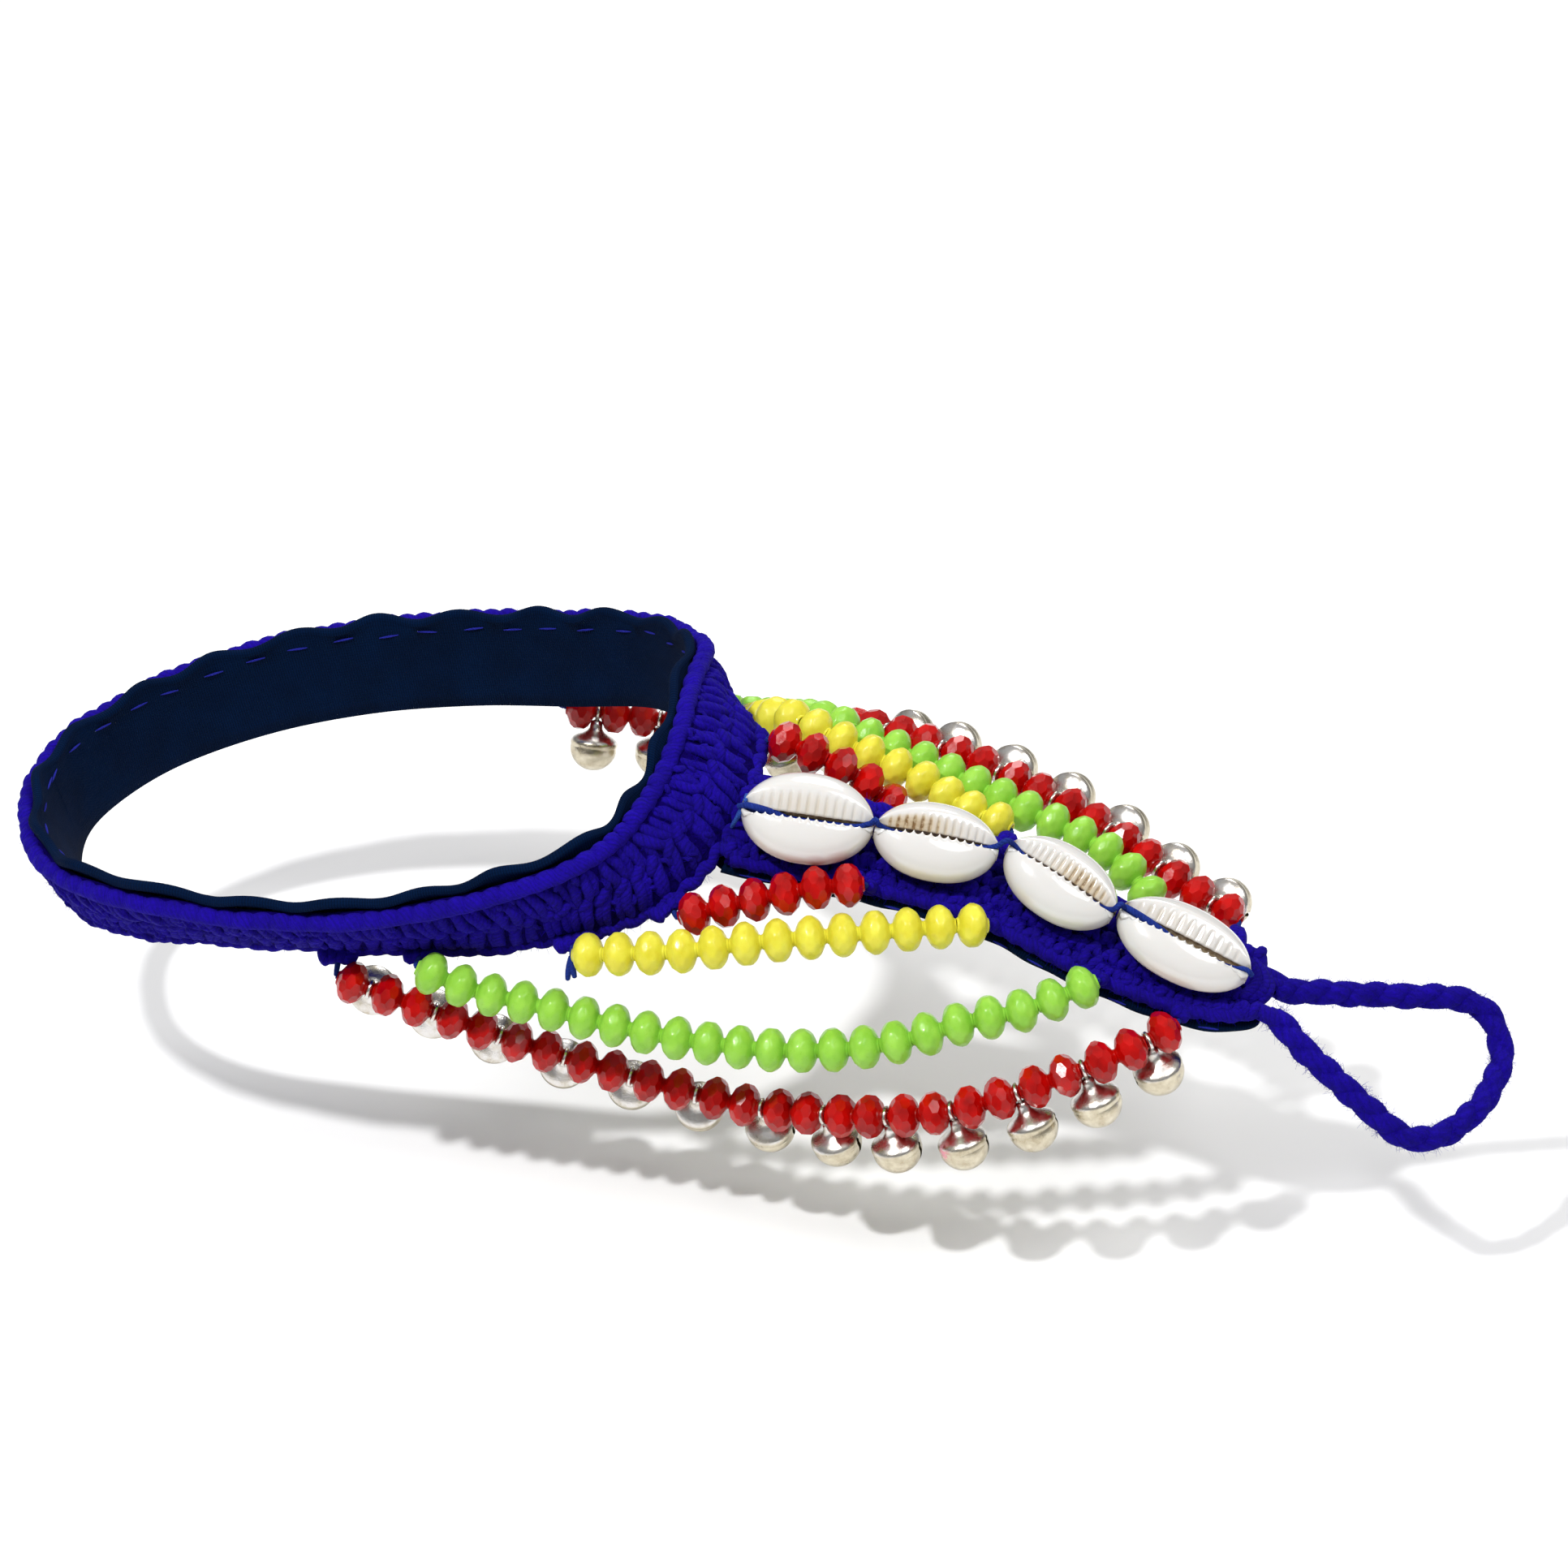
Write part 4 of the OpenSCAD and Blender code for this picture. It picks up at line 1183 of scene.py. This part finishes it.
def make_string(side, kind, course, count, pitch, colour, joins):
    """Beads of one string, its thread, and the yarn and thread that hold its two ends."""
    path = Path(course)
    marks = bead_marks(kind, count, pitch, path.length)
    crisp = colour == "red"
    bead = bead_facets() if crisp else soft_bead()
    shape = Shape()
    for mark in marks:
        place, z, x, y = path.frame(mark)
        roll = rng.uniform(0, 2 * pi)
        turned = np.stack([x * cos(roll) + y * sin(roll), y * cos(roll) - x * sin(roll), z])
        if crisp:
            for ring in bead:
                shape.facet(place + ring @ turned)
        else:
            shape.grid(place + bead @ turned, around=True, flip=True)
        for stub, flip in bead_stubs():
            shape.grid(place + stub @ turned, around=True, flip=flip)
    shape.piece(f"{side}_{kind}_bead_string", [BEADS[colour]], [f"{side}_{kind}_beads"])

    s = np.arange(marks[0] - BEAD_HALF - THREAD_PAST, marks[-1] + BEAD_HALF + THREAD_PAST, 0.5)
    thread = Shape()
    facing = unit(cross(path.heading(s), [0.3, 0.2, 1.0]))
    thread.strand(path.at(s)[:, :3], THREAD_D / 2, facing, sides=6)
    first, last = path.at(s[0])[:3], path.at(s[-1])[:3]
    to_band, _ = nearest_band(first, -BAND_W / 2 + 0.8, 1.2)
    bridge(thread, first, to_band, facing[0], THREAD_D * 1.4)
    bridge(thread, last, nearest_strap(last, 0.9), facing[-1], THREAD_D * 1.4)
    join_string(joins, first, last, TAB_REACH[side])
    if (side, kind) == ("near", "yellow"):
        # Two cut ends of thread that hang from the knot
        for drop, turn in ((4.2, -0.5), (3.6, 0.7)):
            bridge(thread, first, first + np.array([turn, -0.9, -drop]), facing[0], THREAD_D * 1.5, 0.3)
    thread.piece(f"{side}_{kind}_string_thread", [cord_navy], [f"{side}_{kind}_thread"])


# Outline of a bell below the middle of its eye: neck, shoulders and rim band, and inside
# it the wall from the neck down. The dome is an arc
BELL_DROP = BELL_D / 2 + 2.2
BELL_OUTSIDE = [
    [0.55, -1.55], [1.0, -1.75], [1.05, -2.4], [1.15, -3.0], [1.5, -3.5], [2.3, -3.95], [3.1, -4.35],
    [3.7, -4.75], [3.93, -5.05], [4.0, -5.35], [4.0, -5.75], [3.9, -5.95], [3.92, -6.2],
]
BELL_INSIDE = [[0.2, -4.1], [1.6, -4.4], [2.9, -4.9], [3.4, -5.4], [3.5, -6.0]]
SLIT_TOP = -5.2
BELL_STEPS = 21

# Pink speck: the bell that has it, its place on the bell and its reach
PINK_BELL = "near", 9
PINK_PLACE = [-2.2, -2.6, -5.6]
PINK_REACH = 1.6


def with_dome(profile, radius):
    a = radians(np.arange(-8, -86, -7))
    return np.concatenate([profile, columns(radius * cos(a), radius * sin(a) - BELL_DROP)])


def bell_half(profile, start_angle):
    """Half of a bell's wall, up to the slit on both sides."""
    rows = []
    for r, low in profile:
        open_half = BELL_SLIT / 2 if low < SLIT_TOP else 0.0
        start = np.arcsin(min(open_half / max(r, 0.36), 0.95))
        turn = np.linspace(start, pi - start, BELL_STEPS) + start_angle
        rows.append(columns(r * cos(turn), r * sin(turn), np.full(BELL_STEPS, low)))
    return np.stack(rows)


def make_bells(side, course, pitch):
    """The bells of one side: neck, shoulders and rim, and a dome split by the slit."""
    path = Path(course)
    shape = Shape()
    outer = with_dome(BELL_OUTSIDE, BELL_D / 2)
    inner = with_dome(BELL_INSIDE, BELL_D / 2 - BELL_WALL)
    halves = [bell_half([*outer, *inner[::-1]], angle) for angle in (0, pi)]
    deep = np.cumsum(np.r_[0, np.hypot(*np.diff(outer, axis=0).T)])
    uv = lattice(np.append(deep, np.full(len(inner), 9.0)), np.linspace(0, 25, BELL_STEPS))[..., ::-1]
    # Eye that the thread passes through
    a, b = np.meshgrid(turns(24), turns(10), indexing="ij")
    mean, thick = (EYE_D + BEAD_BORE) / 4, (EYE_D - BEAD_BORE) / 4
    reach = mean + thick * cos(b)
    eye = columns(EYE_T / 2 * sin(b), reach * cos(a), reach * sin(a))
    for index, mark in enumerate(spread(BELL_COUNT, pitch, path.length)):
        x = path.heading(mark)
        here = path.at(mark)
        swing = radians(here[3])
        hang = np.array([0, SWING_WAY[side] * sin(swing), -cos(swing)])
        z = -unit(hang - x * (hang @ x))
        axes = np.stack([x, cross(z, x), z])
        for local in halves:
            pink = None
            if (side, index) == PINK_BELL:
                away = np.linalg.norm(local - PINK_PLACE, axis=-1)
                pink = np.clip(1 - away / PINK_REACH, 0, 1)
            shape.grid(here[:3] + local @ axes, uv, mark=pink)
        shape.grid(here[:3] + eye @ axes, around=True, along=True, flip=True)
    names = [f"{side}_bell_{k + 1}" for k in range(BELL_COUNT)]
    shape.piece(f"{side}_bells", [bell_silver], names)


make_band_lining()
make_strap_lining()
running_stitches()
make_band()
make_strap()
joins = Shape()
join_strap(joins)
make_loop()
make_ties()
for shell in range(len(SHELLS)):
    make_shell(shell)
make_shell_cord()
for side, kind, course, count, pitch, colour in STRINGS:
    make_string(side, kind, course, count, pitch, colour, joins)
    if kind == "bell":
        make_bells(side, course, pitch)
joins.piece("crochet_joins", [yarn_blue])


# Floor, world and lights
FLOOR_LEVEL = -52
FLOOR_REACH = 1500


def make_floor():
    n = Nodes("floor_pale", Roughness=0.75, Specular_IOR_Level=0.2)
    n.colour(n.noise(8.0), linear(250, 250, 250), linear(246, 246, 247))
    marks = (-FLOOR_REACH, 0, FLOOR_REACH)
    points = [(x * MM, y * MM, FLOOR_LEVEL * MM) for x in marks for y in marks]
    quads = [[k, k + 3, k + 4, k + 1] for k in (0, 1, 3, 4)]
    mesh = bpy.data.meshes.new("floor")
    mesh.from_pydata(points, [], quads)
    mesh.materials.append(n.material)
    obj = bpy.data.objects.new("floor", mesh)
    bpy.context.scene.collection.objects.link(obj)


def area_light(name, place, size, power):
    data = bpy.data.lights.new(name, "AREA")
    data.shape = "DISK"
    data.size = size
    data.energy = power
    light = bpy.data.objects.new(name, data)
    light.location = place
    aim = Vector(VIEW_TARGET) * MM - Vector(place)
    light.rotation_euler = aim.to_track_quat("-Z", "Y").to_euler()
    bpy.context.scene.collection.objects.link(light)


def make_light():
    """Soft studio: a world that is brighter above, and three lights."""
    world = bpy.data.worlds.new("studio")
    world.use_nodes = True
    nodes, links = world.node_tree.nodes, world.node_tree.links
    place, split, fade = (nodes.new("ShaderNode" + kind) for kind in ("TexCoord", "SeparateXYZ", "MapRange"))
    for key, value in (("From Min", 0.05), ("From Max", 0.75), ("To Min", 0.16), ("To Max", 0.5)):
        fade.inputs[key].default_value = value
    links.new(place.outputs["Generated"], split.inputs[0])
    links.new(split.outputs["Z"], fade.inputs["Value"])
    nodes["Background"].inputs["Color"].default_value = (1, 1, 1, 1)
    links.new(fade.outputs[0], nodes["Background"].inputs["Strength"])
    bpy.context.scene.world = world
    area_light("key", (-0.25, -0.4, 0.85), 0.06, 6.5)
    area_light("soft", (0.5, -0.3, 0.9), 0.5, 4)
    area_light("back", (0.1, 0.7, 0.6), 0.35, 2.5)
    bpy.context.scene.view_settings.view_transform = "Standard"


make_floor()
make_light()
